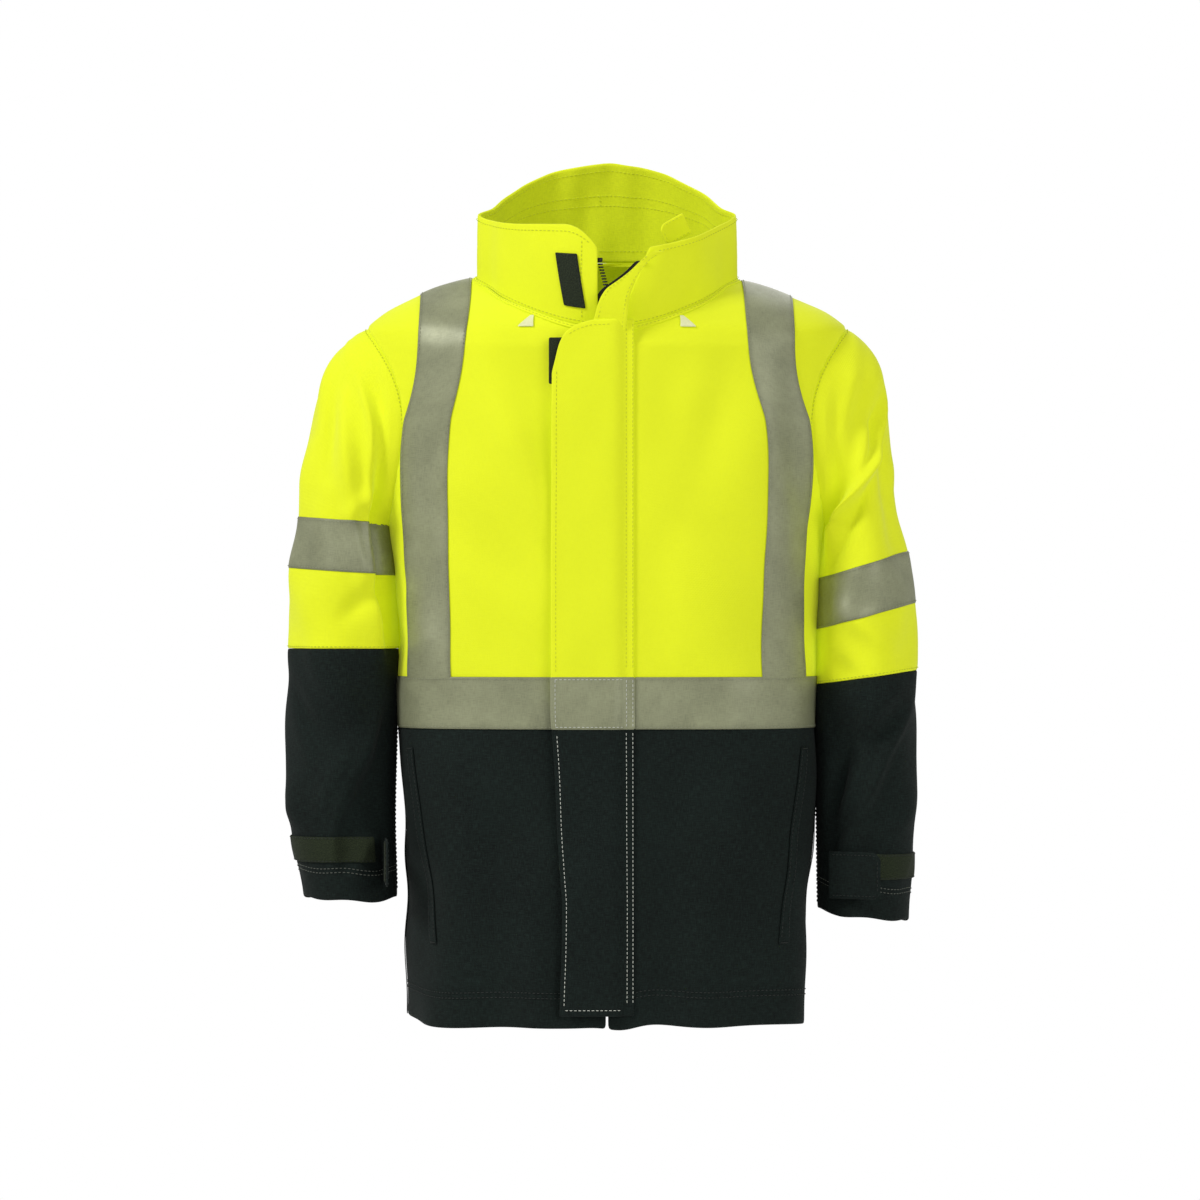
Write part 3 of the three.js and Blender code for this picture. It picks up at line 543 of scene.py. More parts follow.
def seam(surface: Surface, start: tuple[float, float], end: tuple[float, float], lift: float,
         relief: Optional[Callable[[Array], Array]] = None, core: float = 0.0, steps: int = 90,
         **row: float) -> Net:
    """Sews a row of stitches over a surface, from one u, v place to another.

    Args:
        surface: the cloth's surface.
        start: u and v where the row starts.
        end: u and v where it ends.
        lift: how far off the surface the thread lies.
        relief: how far the cloth rises with its folds.
        core: x of the upright line that the face looks away from.
        steps: how finely the row follows the surface.
        **row: what the stitches are like.

    Returns:
        The net of the row.
    """
    t = np.linspace(0, 1, steps)
    u, v = mix(start[0], end[0], t), mix(start[1], end[1], t)
    base = surface(u, v)
    normal = slopes(surface, u, v)
    away = np.sum((normal * (base - points(core, 0, base[:, 2])))[:, :2], axis=1)
    normal *= 1 if np.median(away) > 0 else -1
    rise = relief(base) if relief else 0.0
    return stitches(base + normal * (np.asarray(lift + rise).reshape(-1, 1)), normal, **row)


# ---------------------------------------------------------------- the coat's form
@dataclass(frozen=True)
class Fold:
    """A soft crease or swell in hanging cloth, along a line in x, z on the front (-1) or back (+1)."""

    start: tuple[float, float]
    end: tuple[float, float]
    height: float
    width: float
    face: int = -1

    def rise(self, p: Array) -> Array:
        """Tells how far each point rises with this fold."""
        a, b = np.array(self.start), np.array(self.end)
        flat = p[:, [0, 2]]
        along = b - a
        t = np.clip((flat - a) @ along / (along @ along), -0.25, 1.25)
        near = np.linalg.norm(flat - (a + np.outer(t, along)), axis=1)
        ends = np.clip(1 - np.abs(t - 0.5) / 0.75, 0, 1) ** 0.7
        here = 1 / (1 + np.exp(-p[:, 1] * self.face / 14))
        return self.height * np.exp(-(near / self.width) ** 2) * ends * here


@dataclass(frozen=True)
class Form:
    """The body of the coat as worn: rounded sections, a sloping neckline and two armholes."""

    hem_z: float = -735.0
    seam_z: float = -423.8
    neck_z: tuple[float, float, float] = (-62.0, -6.0, 12.0)      # front, side, back
    collar_top: tuple[tuple[float, float], ...] = (
        (0, 38), (40, 39), (70, 46), (90, 60), (110, 78), (125, 91), (140, 101), (160, 108), (180, 111))
    neck_half: float = 114.0
    zip_top: float = -74.0
    front_depth: float = 112.0
    hem_depth: float = 122.0
    armhole_z: float = -155.0
    armhole_high: float = 95.0
    armhole_deep: float = 66.0
    chest_level: float = -150.0

    def half_width(self, z: Array) -> Array:
        """Half the body's width at a height."""
        n = self.neck_half
        return through([(14, n - 4), (0, n - 1), (-6, n + 3), (-12, n + 30), (-26, 183), (-46, 222),
                        (-62, 238), (-90, 235), (-144, 227), (-200, 220), (-250, 214), (-330, 209),
                        (-450, 204), (-560, 200), (-660, 195), (-755, 192)])(z)

    def front(self, z: Array) -> Array:
        """How far forward the front lies."""
        low = np.minimum(z, self.zip_top)
        line = mix(self.front_depth, self.hem_depth, (self.zip_top - low) / (self.zip_top - self.hem_z))
        slope = through([(14, 30), (-6, 36), (-19, 52), (-30, 71), (-41, 86), (-52, 97), (-62, 105),
                         (-78, 112), (-100, 125)])(z)
        return np.minimum(line, slope)

    def back(self, z: Array) -> Array:
        """How far back the back lies."""
        return through([(14, 86), (0, 98), (-20, 110), (-60, 119), (-120, 125), (-200, 128),
                        (-300, 126), (-450, 122), (-755, 118)])(z)

    def squareness(self, z: Array) -> Array:
        """How square each section is: 2 is an ellipse."""
        return through([(14, 2), (-62, 2.1), (-220, 2.7), (-755, 2.7)])(z)

    def at_bearing(self, bearing: Array, z: Array) -> Array:
        """Gives the body's point at a bearing, 0 at the front and 90 degrees at the wearer's left."""
        s, c = np.sin(bearing), np.cos(bearing)
        n = self.squareness(z)
        depth = np.where(c > 0, self.front(z), self.back(z))
        reach = ((np.abs(s) / self.half_width(z)) ** n + (np.abs(c) / depth) ** n) ** (-1 / n)
        return points(reach * s, -reach * c, z)

    def depth(self, x: Array, z: Array, face: Any) -> Array:
        """How deep the body is at a sideways place."""
        n = self.squareness(z)
        deep = np.where(np.asarray(face) < 0, self.front(z), self.back(z))
        return deep * np.maximum(0, 1 - (np.abs(x) / self.half_width(z)) ** n) ** (1 / n)

    def width(self, y: Array, z: Array) -> Array:
        """How wide the body is at a place seen from the side."""
        n = self.squareness(z)
        deep = np.where(y < 0, self.front(z), self.back(z))
        return self.half_width(z) * np.maximum(0, 1 - (np.abs(y) / deep) ** n) ** (1 / n)

    def over_shoulder(self, x: Array, turn: Array) -> Array:
        """Meets the shoulder with a ray from the middle of a slice, from 0 forward to pi back."""
        low, high = np.zeros_like(x), np.full_like(x, 260.0)
        for _ in range(34):
            mid = (low + high) / 2
            y, z = -mid * np.cos(turn), self.chest_level + mid * np.sin(turn)
            inside = (np.abs(x) < self.half_width(z)) & (np.abs(y) < self.depth(x, z, np.sign(y)))
            low, high = np.where(inside, mid, low), np.where(inside, high, mid)
        return points(x, -low * np.cos(turn), self.chest_level + low * np.sin(turn))

    @staticmethod
    def round_neck(front: float, side: float, back: float, bearing: Array) -> Array:
        """A height round the neck from its front, side and back values."""
        swing, even, fold = (front - back) / 2, (front + back) / 4 + side / 2, (front + back) / 4 - side / 2
        return even + swing * np.cos(bearing) + fold * np.cos(2 * bearing)

    def relief(self, p: Array) -> Array:
        """Tells how far the hanging cloth rises or falls at each point."""
        x, y, z = p[:, 0], p[:, 1], p[:, 2]
        folds = [
            Fold((-120, -95), (-60, -240), 2.6, 20), Fold((-70, -300), (-95, -640), 2.2, 32),
            Fold((-148, -120), (-196, -330), -2.4, 22), Fold((-190, -330), (-150, -400), 2.5, 16),
            Fold((120, -95), (90, -210), -2.4, 22), Fold((185, -120), (205, -330), -3.0, 20),
            Fold((60, -300), (120, -420), 2.0, 34), Fold((130, -450), (150, -700), 2.6, 34),
            Fold((-150, -480), (-130, -720), 3.0, 26), Fold((-185, -500), (-175, -700), -2.8, 20),
            Fold((60, -480), (50, -720), -2.2, 30), Fold((-70, -470), (-110, -600), -2.0, 26),
            Fold((-150, -40), (150, -45), 2.0, 24, 1), Fold((-60, -120), (-120, -400), 4.5, 30, 1),
            Fold((70, -100), (130, -380), 4.0, 32, 1), Fold((0, -160), (10, -420), -3.5, 36, 1),
            Fold((-140, -440), (-110, -720), 4.5, 30, 1), Fold((120, -450), (140, -720), 5.0, 32, 1),
            Fold((20, -440), (0, -730), -4.0, 40, 1), Fold((-180, -210), (-120, -260), 3.0, 14, 1),
            Fold((180, -210), (110, -270), 3.0, 14, 1),
        ]
        total = sum(fold.rise(p) for fold in folds)
        around = np.arctan2(x, -y)
        total += 1.1 * np.sin(around * 7 + z / 90) * np.sin(z / 60 + 1.0)
        flare = np.clip((-540 - z) / 195, 0, 1) ** 1.5
        total += flare * 2.4 * np.sin(around * 11 + 0.6)
        calm = np.clip((np.abs(x) - 30) / 40, 0, 1)            # the zip keeps the front edge straight
        calm = np.where(y < 0, calm, 1.0) * np.clip((self.neck_z[2] + 10 - z) / 40, 0.25, 1)
        reach = np.hypot(y / self.armhole_deep, (z - self.armhole_z) / self.armhole_high)
        sewn = np.where(np.abs(x) > 150, np.clip((reach - 1.02) / 0.35, 0, 1), 1)
        return (total * 2.6 + 1.5 * self.crumple(p)) * calm * sewn

    @staticmethod
    def crumple(p: Array) -> Array:
        """Small soft wrinkles that cross each other."""
        x, y, z = p[:, 0], p[:, 1], p[:, 2]
        first = np.sin(x / 13 + z / 31 + np.sin(z / 47) * 2) * np.sin(z / 43 - y / 21)
        second = np.sin(x / 23 - z / 17 + np.sin(x / 39) * 2.2) * np.sin(z / 71 + x / 57 + 1)
        return 0.55 * first + 0.75 * second


FORM = Form()
CLOTH = 1.6
TAPE_WIDTH = 50.8
WAIST_TOP = -398.4
WAIST_BOTTOM = WAIST_TOP - TAPE_WIDTH
FRONT_EDGE_X = 7.0
QUARTER = math.pi / 2
HEM_TURN = 33.0
ARM_CORE = 252.0                    # x of the upright line down the middle of a sleeve
FINE_THREAD = 0.34                  # a thread's radius; the tapes' rows are finer still
TAPE_ROW_THREAD = 0.32
FLAP_THREAD = 0.36


def front_panel(side: Side, top: Curve, bottom: Curve, crowd: float = 1.0) -> Surface:
    """Makes the surface of a front panel.

    Args:
        side: which side of the coat.
        top: the panel's top edge by bearing.
        bottom: its bottom edge.
        crowd: how much its rows crowd towards the top.

    Returns:
        The surface, from the zip at u = 0 to the side seam at u = 1.
    """
    def surface(u: Array, v: Array) -> Array:
        """Places a point of the panel; below the zip the two front edges meet."""
        edge = math.atan2(FRONT_EDGE_X, FORM.hem_depth)
        low = np.clip((-688 - mix(top(u * QUARTER), bottom(u * QUARTER), v ** crowd)) / 14, 0, 1)
        bearing = side.value * mix(mix(edge, 0.007, low), QUARTER, u)
        return FORM.at_bearing(bearing, mix(top(bearing), bottom(bearing), v ** crowd))

    return surface


def back_panel(top: Curve, bottom: Curve, crowd: float = 1.0) -> Surface:
    """Makes the surface of a back panel, from the left side seam to the right one."""
    def surface(u: Array, v: Array) -> Array:
        """Places a point of the panel."""
        bearing = mix(QUARTER, 3 * QUARTER, u)
        return FORM.at_bearing(bearing, mix(top(bearing), bottom(bearing), v ** crowd))

    return surface


def neck_edge(bearing: Array) -> Array:
    """The neck seam's height by bearing."""
    return FORM.round_neck(*FORM.neck_z, bearing)


def hem_edge(bearing: Array) -> Array:
    """The hem's height by bearing: it hangs a little unevenly and lowest at the left front corner."""
    b = np.asarray(bearing, dtype=float)
    corner = -6.0 * np.exp(-((b - 0.12) / 0.16) ** 2)
    return FORM.hem_z + corner + 2.2 * np.sin(3 * b + 0.8) + 1.4 * np.sin(7 * b)


def level(z: float) -> Curve:
    """A straight edge at one height."""
    return lambda bearing: np.full_like(np.asarray(bearing, dtype=float), z)


def cut_armholes(net: Net) -> Net:
    """Cuts the armholes out of a two-layer net, draws its raw edge onto their ovals and closes it.

    Args:
        net: a panel's net, its back layer's points first and its face layer's after.

    Returns:
        The net with its armholes open.
    """
    p, half = net.verts, len(net.verts) // 2
    middle = np.tile((p[:half] + p[half:]) / 2, (2, 1))
    deep, high = FORM.armhole_deep + 1.0, FORM.armhole_high + 4.5
    reach = np.hypot(middle[:, 1] / deep, (middle[:, 2] - FORM.armhole_z) / high)
    inside = (reach < 1) & (np.abs(middle[:, 0]) > 150)
    faces = np.array(net.faces)
    gone = inside[faces].all(axis=1)
    faces, corners = faces[~gone], net.corners.reshape(-1, 4, 2)[~gone]
    rim = np.zeros(len(p), dtype=bool)
    rim[faces[inside[faces].any(axis=1)]] = True
    ring = rim & inside
    out = p.copy()
    out[ring, 1] = p[ring, 1] / reach[ring]
    out[ring, 2] = FORM.armhole_z + (p[ring, 2] - FORM.armhole_z) / reach[ring]
    out[ring, 0] += np.sign(p[ring, 0]) * (FORM.width(out[ring, 1], out[ring, 2])
                                           - FORM.width(p[ring, 1], p[ring, 2]))
    edges: dict[tuple[int, int], int] = {}
    for face in faces.tolist():
        for a, b in zip(face, face[1:] + face[:1]):
            edges[(a, b)] = edges.get((a, b), 0) + 1
    bridge = [(b, a, a - half, b - half) for a, b in edges if (b, a) not in edges and a >= half and b >= half]
    faces = np.array(faces.tolist() + bridge)
    corners = np.concatenate([corners.reshape(-1, 2), np.tile([[0.0, 0.0]], (4 * len(bridge), 1))])
    used = np.unique(faces)
    new = np.full(len(p), -1)
    new[used] = np.arange(len(used))
    return Net(out[used], [tuple(face) for face in new[faces].tolist()], corners)


@dataclass(frozen=True)
class Torso:
    """The body panels, their hem facings and the stitching that shows on them."""

    neck_crowd: float = 1.6         # how much an upper panel's rows crowd towards the neck
    hem_rows: tuple[float, float] = (HEM_TURN + 1, HEM_TURN - 4)       # stitch rows above the hem
    fell_span: float = 0.045        # a side fell's width round the body, in radians
    fell_top: float = -256.0
    fell_yellow: float = 0.35       # the share of a side fell that is yellow

    def build(self) -> None:
        """Makes the panels of the front and back."""
        for side in Side:
            self._front(side)
        self._back()
        self._side_seams()

    def _front(self, side: Side) -> None:
        """Makes one side's front panels, its hem and its stitches."""
        word = side.word
        relief = FORM.relief
        upper = shell(front_panel(side, neck_edge, level(FORM.seam_z), self.neck_crowd), 46, 64,
                      -CLOTH, 0, relief=relief)
        piece = make(f"front_upper_{word}_cloth", cut_armholes(upper), YELLOW_TWILL, 1,
                     replaces=[f"front_upper_{word}"])
        lower_form = front_panel(side, level(FORM.seam_z), hem_edge)
        lower = shell(lower_form, 36, 40, -CLOTH - 0.3, 0, relief=relief)
        piece = make(f"front_lower_{word}_cloth", lower, BLACK_TWILL, 1, replaces=[f"front_lower_{word}"])
        hem = shell(front_panel(side, lambda b: hem_edge(b) + HEM_TURN, lambda b: hem_edge(b) + 0.4), 36, 4,
                    -2 * CLOTH - 0.6, -CLOTH - 0.4, relief=relief)
        piece = make(f"hem_facing_front_{word}_cloth", hem, BLACK_TWILL, 1,
                     replaces=[f"hem_facing_front_{word}"])
        drop = FORM.seam_z - FORM.hem_z
        rows = [seam(lower_form, (0.0, 1 - up / drop), (1.0, 1 - up / drop), 0.1, relief)
                for up in self.hem_rows]
        make(f"hem_stitches_front_{word}", Net.joined(rows), BLACK_THREAD, 0)

    def _back(self) -> None:
        """Makes the back panels, their hem and its stitches."""
        relief = FORM.relief
        upper = shell(back_panel(neck_edge, level(FORM.seam_z), self.neck_crowd), 90, 64,
                      -CLOTH, 0, relief=relief)
        piece = make("back_upper_cloth", cut_armholes(upper), YELLOW_TWILL, 1, replaces=["back_upper"])
        lower_form = back_panel(level(FORM.seam_z), hem_edge)
        piece = make("back_lower_cloth", shell(lower_form, 72, 40, -CLOTH - 0.3, 0, relief=relief),
                     BLACK_TWILL, 1, replaces=["back_lower"])
        hem = shell(back_panel(lambda b: hem_edge(b) + HEM_TURN, lambda b: hem_edge(b) + 0.4), 72, 4,
                    -2 * CLOTH - 0.6, -CLOTH - 0.4, relief=relief)
        piece = make("hem_facing_back_cloth", hem, BLACK_TWILL, 1, replaces=["hem_facing_back"])
        drop = FORM.seam_z - FORM.hem_z
        rows = [seam(lower_form, (0.0, 1 - up / drop), (1.0, 1 - up / drop), 0.1, relief, steps=180)
                for up in self.hem_rows]
        make("hem_stitches_back", Net.joined(rows), BLACK_THREAD, 0)
        liner = back_panel(lambda b: neck_edge(b) - 1, level(-200.0))
        lining = shell(liner, 40, 16, -CLOTH - 0.9, -CLOTH - 0.3, relief=relief)
        piece = make("back_neck_inside", cut_armholes(lining), YELLOW_BACK_PAINTED_SHADE, 1)

    def _side_seams(self) -> None:
        """Makes the felled side seams, a raised cord of doubled cloth below each armhole."""
        for side in Side:
            def surface(u: Array, v: Array, side: Side = side) -> Array:
                """Places a point of the fell."""
                bearing = side.value * (QUARTER + (u - 0.5) * self.fell_span)
                return FORM.at_bearing(bearing, mix(self.fell_top, hem_edge(bearing) + 1.0, v))

            part = self.fell_yellow
            upper_part = shell(lambda u, v: surface(u, v * part), 4, 30, 0.1, 1.0, relief=FORM.relief)
            lower_part = shell(lambda u, v: surface(u, part + v * (1 - part)), 4, 50, 0.1, 1.0,
                               relief=FORM.relief)
            for word, net, finish in (("upper", upper_part, YELLOW_TWILL),
                                      ("lower", lower_part, BLACK_TWILL)):
                piece = make(f"side_fell_{word}_{side.word}", net, finish, 1)


@dataclass(frozen=True)
class BodyTapes:
    """The waist tape and the two braces, with a row of stitches along each edge."""

    low: float = 0.6                # how far the tape's back and face lie off the cloth
    high: float = 1.2
    start_left: float = 25.4 / 118  # the bearings where the front tapes start, in radians
    start_right: float = 17 / 118
    over: float = 0.5               # the share of a brace that lies over the shoulder
    shoulder_z: float = -20.0

    def build(self) -> None:
        """Makes every tape on the body."""
        self._waist()
        for side in Side:
            self._brace(side)

    def _tape(self, name: str, surface: Surface, columns: int, rows: int, node: str) -> None:
        """Makes a length of tape with its stitches.

        Args:
            name: the piece's name.
            surface: its surface, v across the tape's width.
            columns: steps along its length.
            rows: steps across its width.
            node: the node that it stands for.
        """
        net = shell(surface, columns, rows, self.low, self.high, relief=FORM.relief, tape_edges=True)
        piece = make(name, net, BEAD_TAPE, 1, replaces=[node])
        rows_of_thread = [seam(surface, (0.004, v), (0.996, v), self.high, FORM.relief, steps=240,
                               radius=TAPE_ROW_THREAD) for v in (0.045, 0.955)]
        make(f"{name}_stitches", Net.joined(rows_of_thread), TAPE_THREAD, 0)

    def _waist(self) -> None:
        """Makes the waist tape's three lengths."""
        for side in Side:
            start = self.start_left if side is Side.LEFT else self.start_right
            sign = side.value

            def front(u: Array, v: Array, sign: int = sign, start: float = start) -> Array:
                """Places a point of the front tape."""
                return FORM.at_bearing(sign * mix(start, QUARTER, u), mix(WAIST_TOP, WAIST_BOTTOM, v))

            self._tape(f"waist_tape_front_{side.word}_band", front, 50, 8,
                       f"waist_tape_front_{side.word}")

        def back(u: Array, v: Array) -> Array:
            """Places a point of the back tape."""
            return FORM.at_bearing(mix(QUARTER, 3 * QUARTER, u), mix(WAIST_TOP, WAIST_BOTTOM, v))

        self._tape("waist_tape_back_band", back, 90, 8, "waist_tape_back")

    @staticmethod
    def middle(z: Array) -> Array:
        """The brace's middle line: how far out it lies at each height."""
        return through([(-20, 157), (-200, 178), (WAIST_TOP, 171)])(z)

    def _brace(self, side: Side) -> None:
        """Makes one brace, from the waist at the front over the shoulder to the waist at the back."""
        over = self.over

        def surface(u: Array, v: Array) -> Array:
            """Places a point of the brace."""
            t = 2 * u - 1
            along = np.minimum(np.abs(t) / over, 1)
            z = mix(FORM.chest_level, WAIST_TOP - 6, np.clip((np.abs(t) - over) / (1 - over), 0, 1))
            height = np.where(along < 1, mix(self.shoulder_z, FORM.chest_level, along ** 2), z)
            x = self.middle(height) + (v - 0.5) * mix(TAPE_WIDTH, 0.9 * TAPE_WIDTH, along)
            face = np.sign(t)
            down = points(side.value * x, face * FORM.depth(x, z, face), z)
            top = FORM.over_shoulder(x, QUARTER * (1 + np.clip(t / over, -1, 1)))
            top[..., 0] *= side.value
            return np.where((along < 1)[..., None], top, down)

        self._tape(f"brace_tape_{side.word}_band", surface, 120, 8, f"brace_tape_{side.word}")


# ---------------------------------------------------------------- sleeves
@dataclass(frozen=True)
class Arm:
    """One sleeve's outline seen from the front, and where its bands lie."""

    outer: tuple[tuple[float, float], ...]
    inner: tuple[tuple[float, float], ...]
    seam: float                     # where the yellow cloth meets the black
    band_top: float
    band_tilt: float                # how much lower the tape lies on the inside of the arm
    cuff: float
    seam_tilt: float                # how much higher the seam lies on the outside than at the front
    cuff_tilt: float
    strip: tuple[float, float]      # the loop strip's span round the arm, in degrees
    folds: tuple[tuple[float, float, float, float, float, float], ...]
    pleats: tuple[tuple[tuple[tuple[float, float], ...], float, float], ...] = ()
    cap_end: float = -236.0
    cap_slope: float = 19.0
    tuck: float = 6.0               # the sewn edge of the sleeve, turned into the body

    def seam_z(self, angle: Array) -> Array:
        """The height where the yellow cloth meets the black."""
        return self.seam + self.seam_tilt * np.cos(angle)

    def cuff_z(self, angle: Array) -> Array:
        """The cuff's edge, which hangs a little unevenly."""
        wave = 1.6 * np.sin(2 * angle + 0.6) + 1.2 * np.sin(5 * angle)
        return self.cuff + self.cuff_tilt * np.cos(angle) + wave

    def at(self, side: int, angle: Array, z: Array) -> Array:
        """Gives the straight part's point; angle 0 is outside the arm, 90 degrees its front."""
        pressed = through([(-560, 1), (-440, 6), (-380, 9), (-290, 8), (-216, 4)])(z)
        outer, inner = through(self.outer)(z), through(self.inner)(z) - pressed
        depth = through([(-216, 66), (-300, 68), (-420, 64), (-560, 57), (-640, 54)])(z)
        return points(side * ((outer + inner) / 2 + (outer - inner) / 2 * np.cos(angle)),
                      -depth * np.sin(angle), z)

    def head(self, side: int, angle: Array, v: Array) -> Array:
        """Gives the sleeve head's point, from the armhole at v = 0 to the straight part at 1."""
        y = -FORM.armhole_deep * np.sin(angle)
        z = FORM.armhole_z + (FORM.armhole_high + 3.5) * np.cos(angle)
        start = points(side * (FORM.width(y, z) - self.tuck), y, z)
        end = self.at(side, angle, self.cap_end + self.cap_slope * np.cos(angle))
        reach = np.linalg.norm(end - start, axis=-1, keepdims=True)
        droop = mix(5, 15, (1 + np.cos(angle)) / 2) * RAD
        leave = points(side * np.cos(droop), 0, -np.sin(droop)) * reach
        arrive = points(np.zeros_like(y), 0, -1) * reach
        v = np.asarray(v)[..., None]
        s, q = v * v * (3 - 2 * v), v ** 3
        return start * (1 - s) + end * s + leave * (q - 2 * v * v + v) + arrive * (q - v * v)

    def relief(self, p: Array) -> Array:
        """Tells how the sleeve's folds rise; each is angle and z at both ends, height and width."""
        middle = (through(self.outer)(p[:, 2]) + through(self.inner)(p[:, 2])) / 2
        angle = np.degrees(np.arctan2(-p[:, 1] / 64, (np.abs(p[:, 0]) - middle) / 46))
        total = np.zeros(len(p))
        for a0, z0, a1, z1, height, width in self.folds:
            line = np.array([(a1 - a0) * 0.95, z1 - z0])
            off = (angle - a0 + 180) % 360 - 180
            t = np.clip((off * 0.95 * line[0] + (p[:, 2] - z0) * line[1]) / (line @ line), 0, 1)
            near = np.hypot(off * 0.95 - t * line[0], p[:, 2] - z0 - t * line[1])
            total += height * np.exp(-(near / width) ** 2) * (0.45 + 0.55 * np.sin(np.pi * t))
        total += 0.9 * np.sin(p[:, 2] / 17 + np.radians(angle) * 2) * np.sin(np.radians(angle) * 3)
        for ridge, drop, width in self.pleats:
            past = (angle - through(ridge)(p[:, 2])) / width
            ends = np.clip((p[:, 2] - ridge[0][0]) / 40, 0, 1) * np.clip((ridge[-1][0] - p[:, 2]) / 40, 0, 1)
            front = np.clip((angle + 10) / 20, 0, 1)
            total += drop * ends * front * (np.exp(-past ** 2) - 1 / (1 + np.exp(-3.5 * past)))
        outside = np.clip((np.abs(p[:, 0]) - 212) / 10, 0, 1)      # it lies flat against the body
        total = total * 2.4 + 1.6 * FORM.crumple(p[:, [1, 0, 2]])
        cuff = np.clip((-530 - p[:, 2]) / 22, 0, 1)                # nothing stands out under the tab
        total = np.where(total > 0, total * (1 - cuff), total)
        return total * outside * np.clip((p[:, 2] - self.cuff + 20) / 40, 0.4, 1)


ARMS = {
    Side.RIGHT: Arm(
        ((-150, 287), (-216, 296), (-289, 305), (-370, 313), (-486, 315), (-560, 309), (-620, 298)),
        ((-216, 219), (-300, 215), (-420, 212), (-540, 209), (-620, 207)),
        seam=-372, band_top=-243, band_tilt=-7, cuff=-617, seam_tilt=0.0, cuff_tilt=0.0, strip=(-15, 128),
        folds=((85, -130, 103, -245, 3.4, 10), (103, -245, 135, -372, 3.4, 9),
               (128, -200, 140, -300, -3.5, 9), (60, -120, 70, -200, -3.0, 12),
               (30, -180, 15, -330, 3.0, 16), (140, -210, 100, -240, 3.2, 9),
               (150, -300, 100, -340, -3.0, 10), (60, -380, 120, -450, 3.5, 14),
               (20, -400, 70, -470, -3.0, 14), (110, -470, 60, -540, 3.2, 15),
               (150, -540, 110, -600, 3.0, 14), (20, -520, 40, -600, 2.8, 16),
               (-90, -200, -60, -380, 3.5, 18), (-120, -260, -70, -300, -3.0, 12),
               (-60, -420, -120, -520, 3.5, 16), (-90, -540, -70, -610, 3, 16)),
        pleats=((((-390, 150), (-370, 142), (-244, 124), (-153, 120), (-100, 110)), 5.0, 6.5),
                (((-610, 70), (-560, 80), (-470, 130), (-400, 150)), 3.0, 10.0)),
    ),
    Side.LEFT: Arm(
        ((-150, 262), (-216, 277), (-289, 292), (-370, 303), (-486, 304), (-572, 302), (-636, 297)),
        ((-216, 219), (-300, 215), (-420, 211), (-540, 207), (-636, 208)),
        seam=-400, band_top=-277, band_tilt=-26, cuff=-634, seam_tilt=7.0, cuff_tilt=-6.0, strip=(-20, 95),
        folds=((62, -160, 140, -272, 4.2, 9), (75, -200, 150, -300, -3.6, 9),
               (112, -440, 155, -540, -3.5, 10), (90, -110, 110, -180, 3.0, 12),
               (40, -150, 50, -260, -3.0, 14), (20, -200, 10, -380, 2.5, 16),
               (130, -330, 70, -370, 3.0, 12), (150, -380, 110, -400, -2.5, 10),
               (60, -410, 130, -470, 3.5, 14), (95, -478, 140, -552, 5.0, 12),
               (50, -450, 80, -520, -2.5, 16), (30, -520, 50, -600, 2.8, 16),
               (70, -560, 110, -610, -2.5, 12), (-90, -200, -60, -380, 3.5, 18),
               (-120, -260, -70, -300, -3.0, 12), (-60, -420, -120, -520, 3.5, 16),
               (-90, -540, -70, -620, 3, 16)),
        pleats=((((-330, 165), (-272, 150), (-215, 95), (-161, 40), (-110, 20)), 5.0, 7.5),
                (((-600, 140), (-551, 117), (-478, 72), (-420, 40)), 4.0, 10.0)),
    ),
}


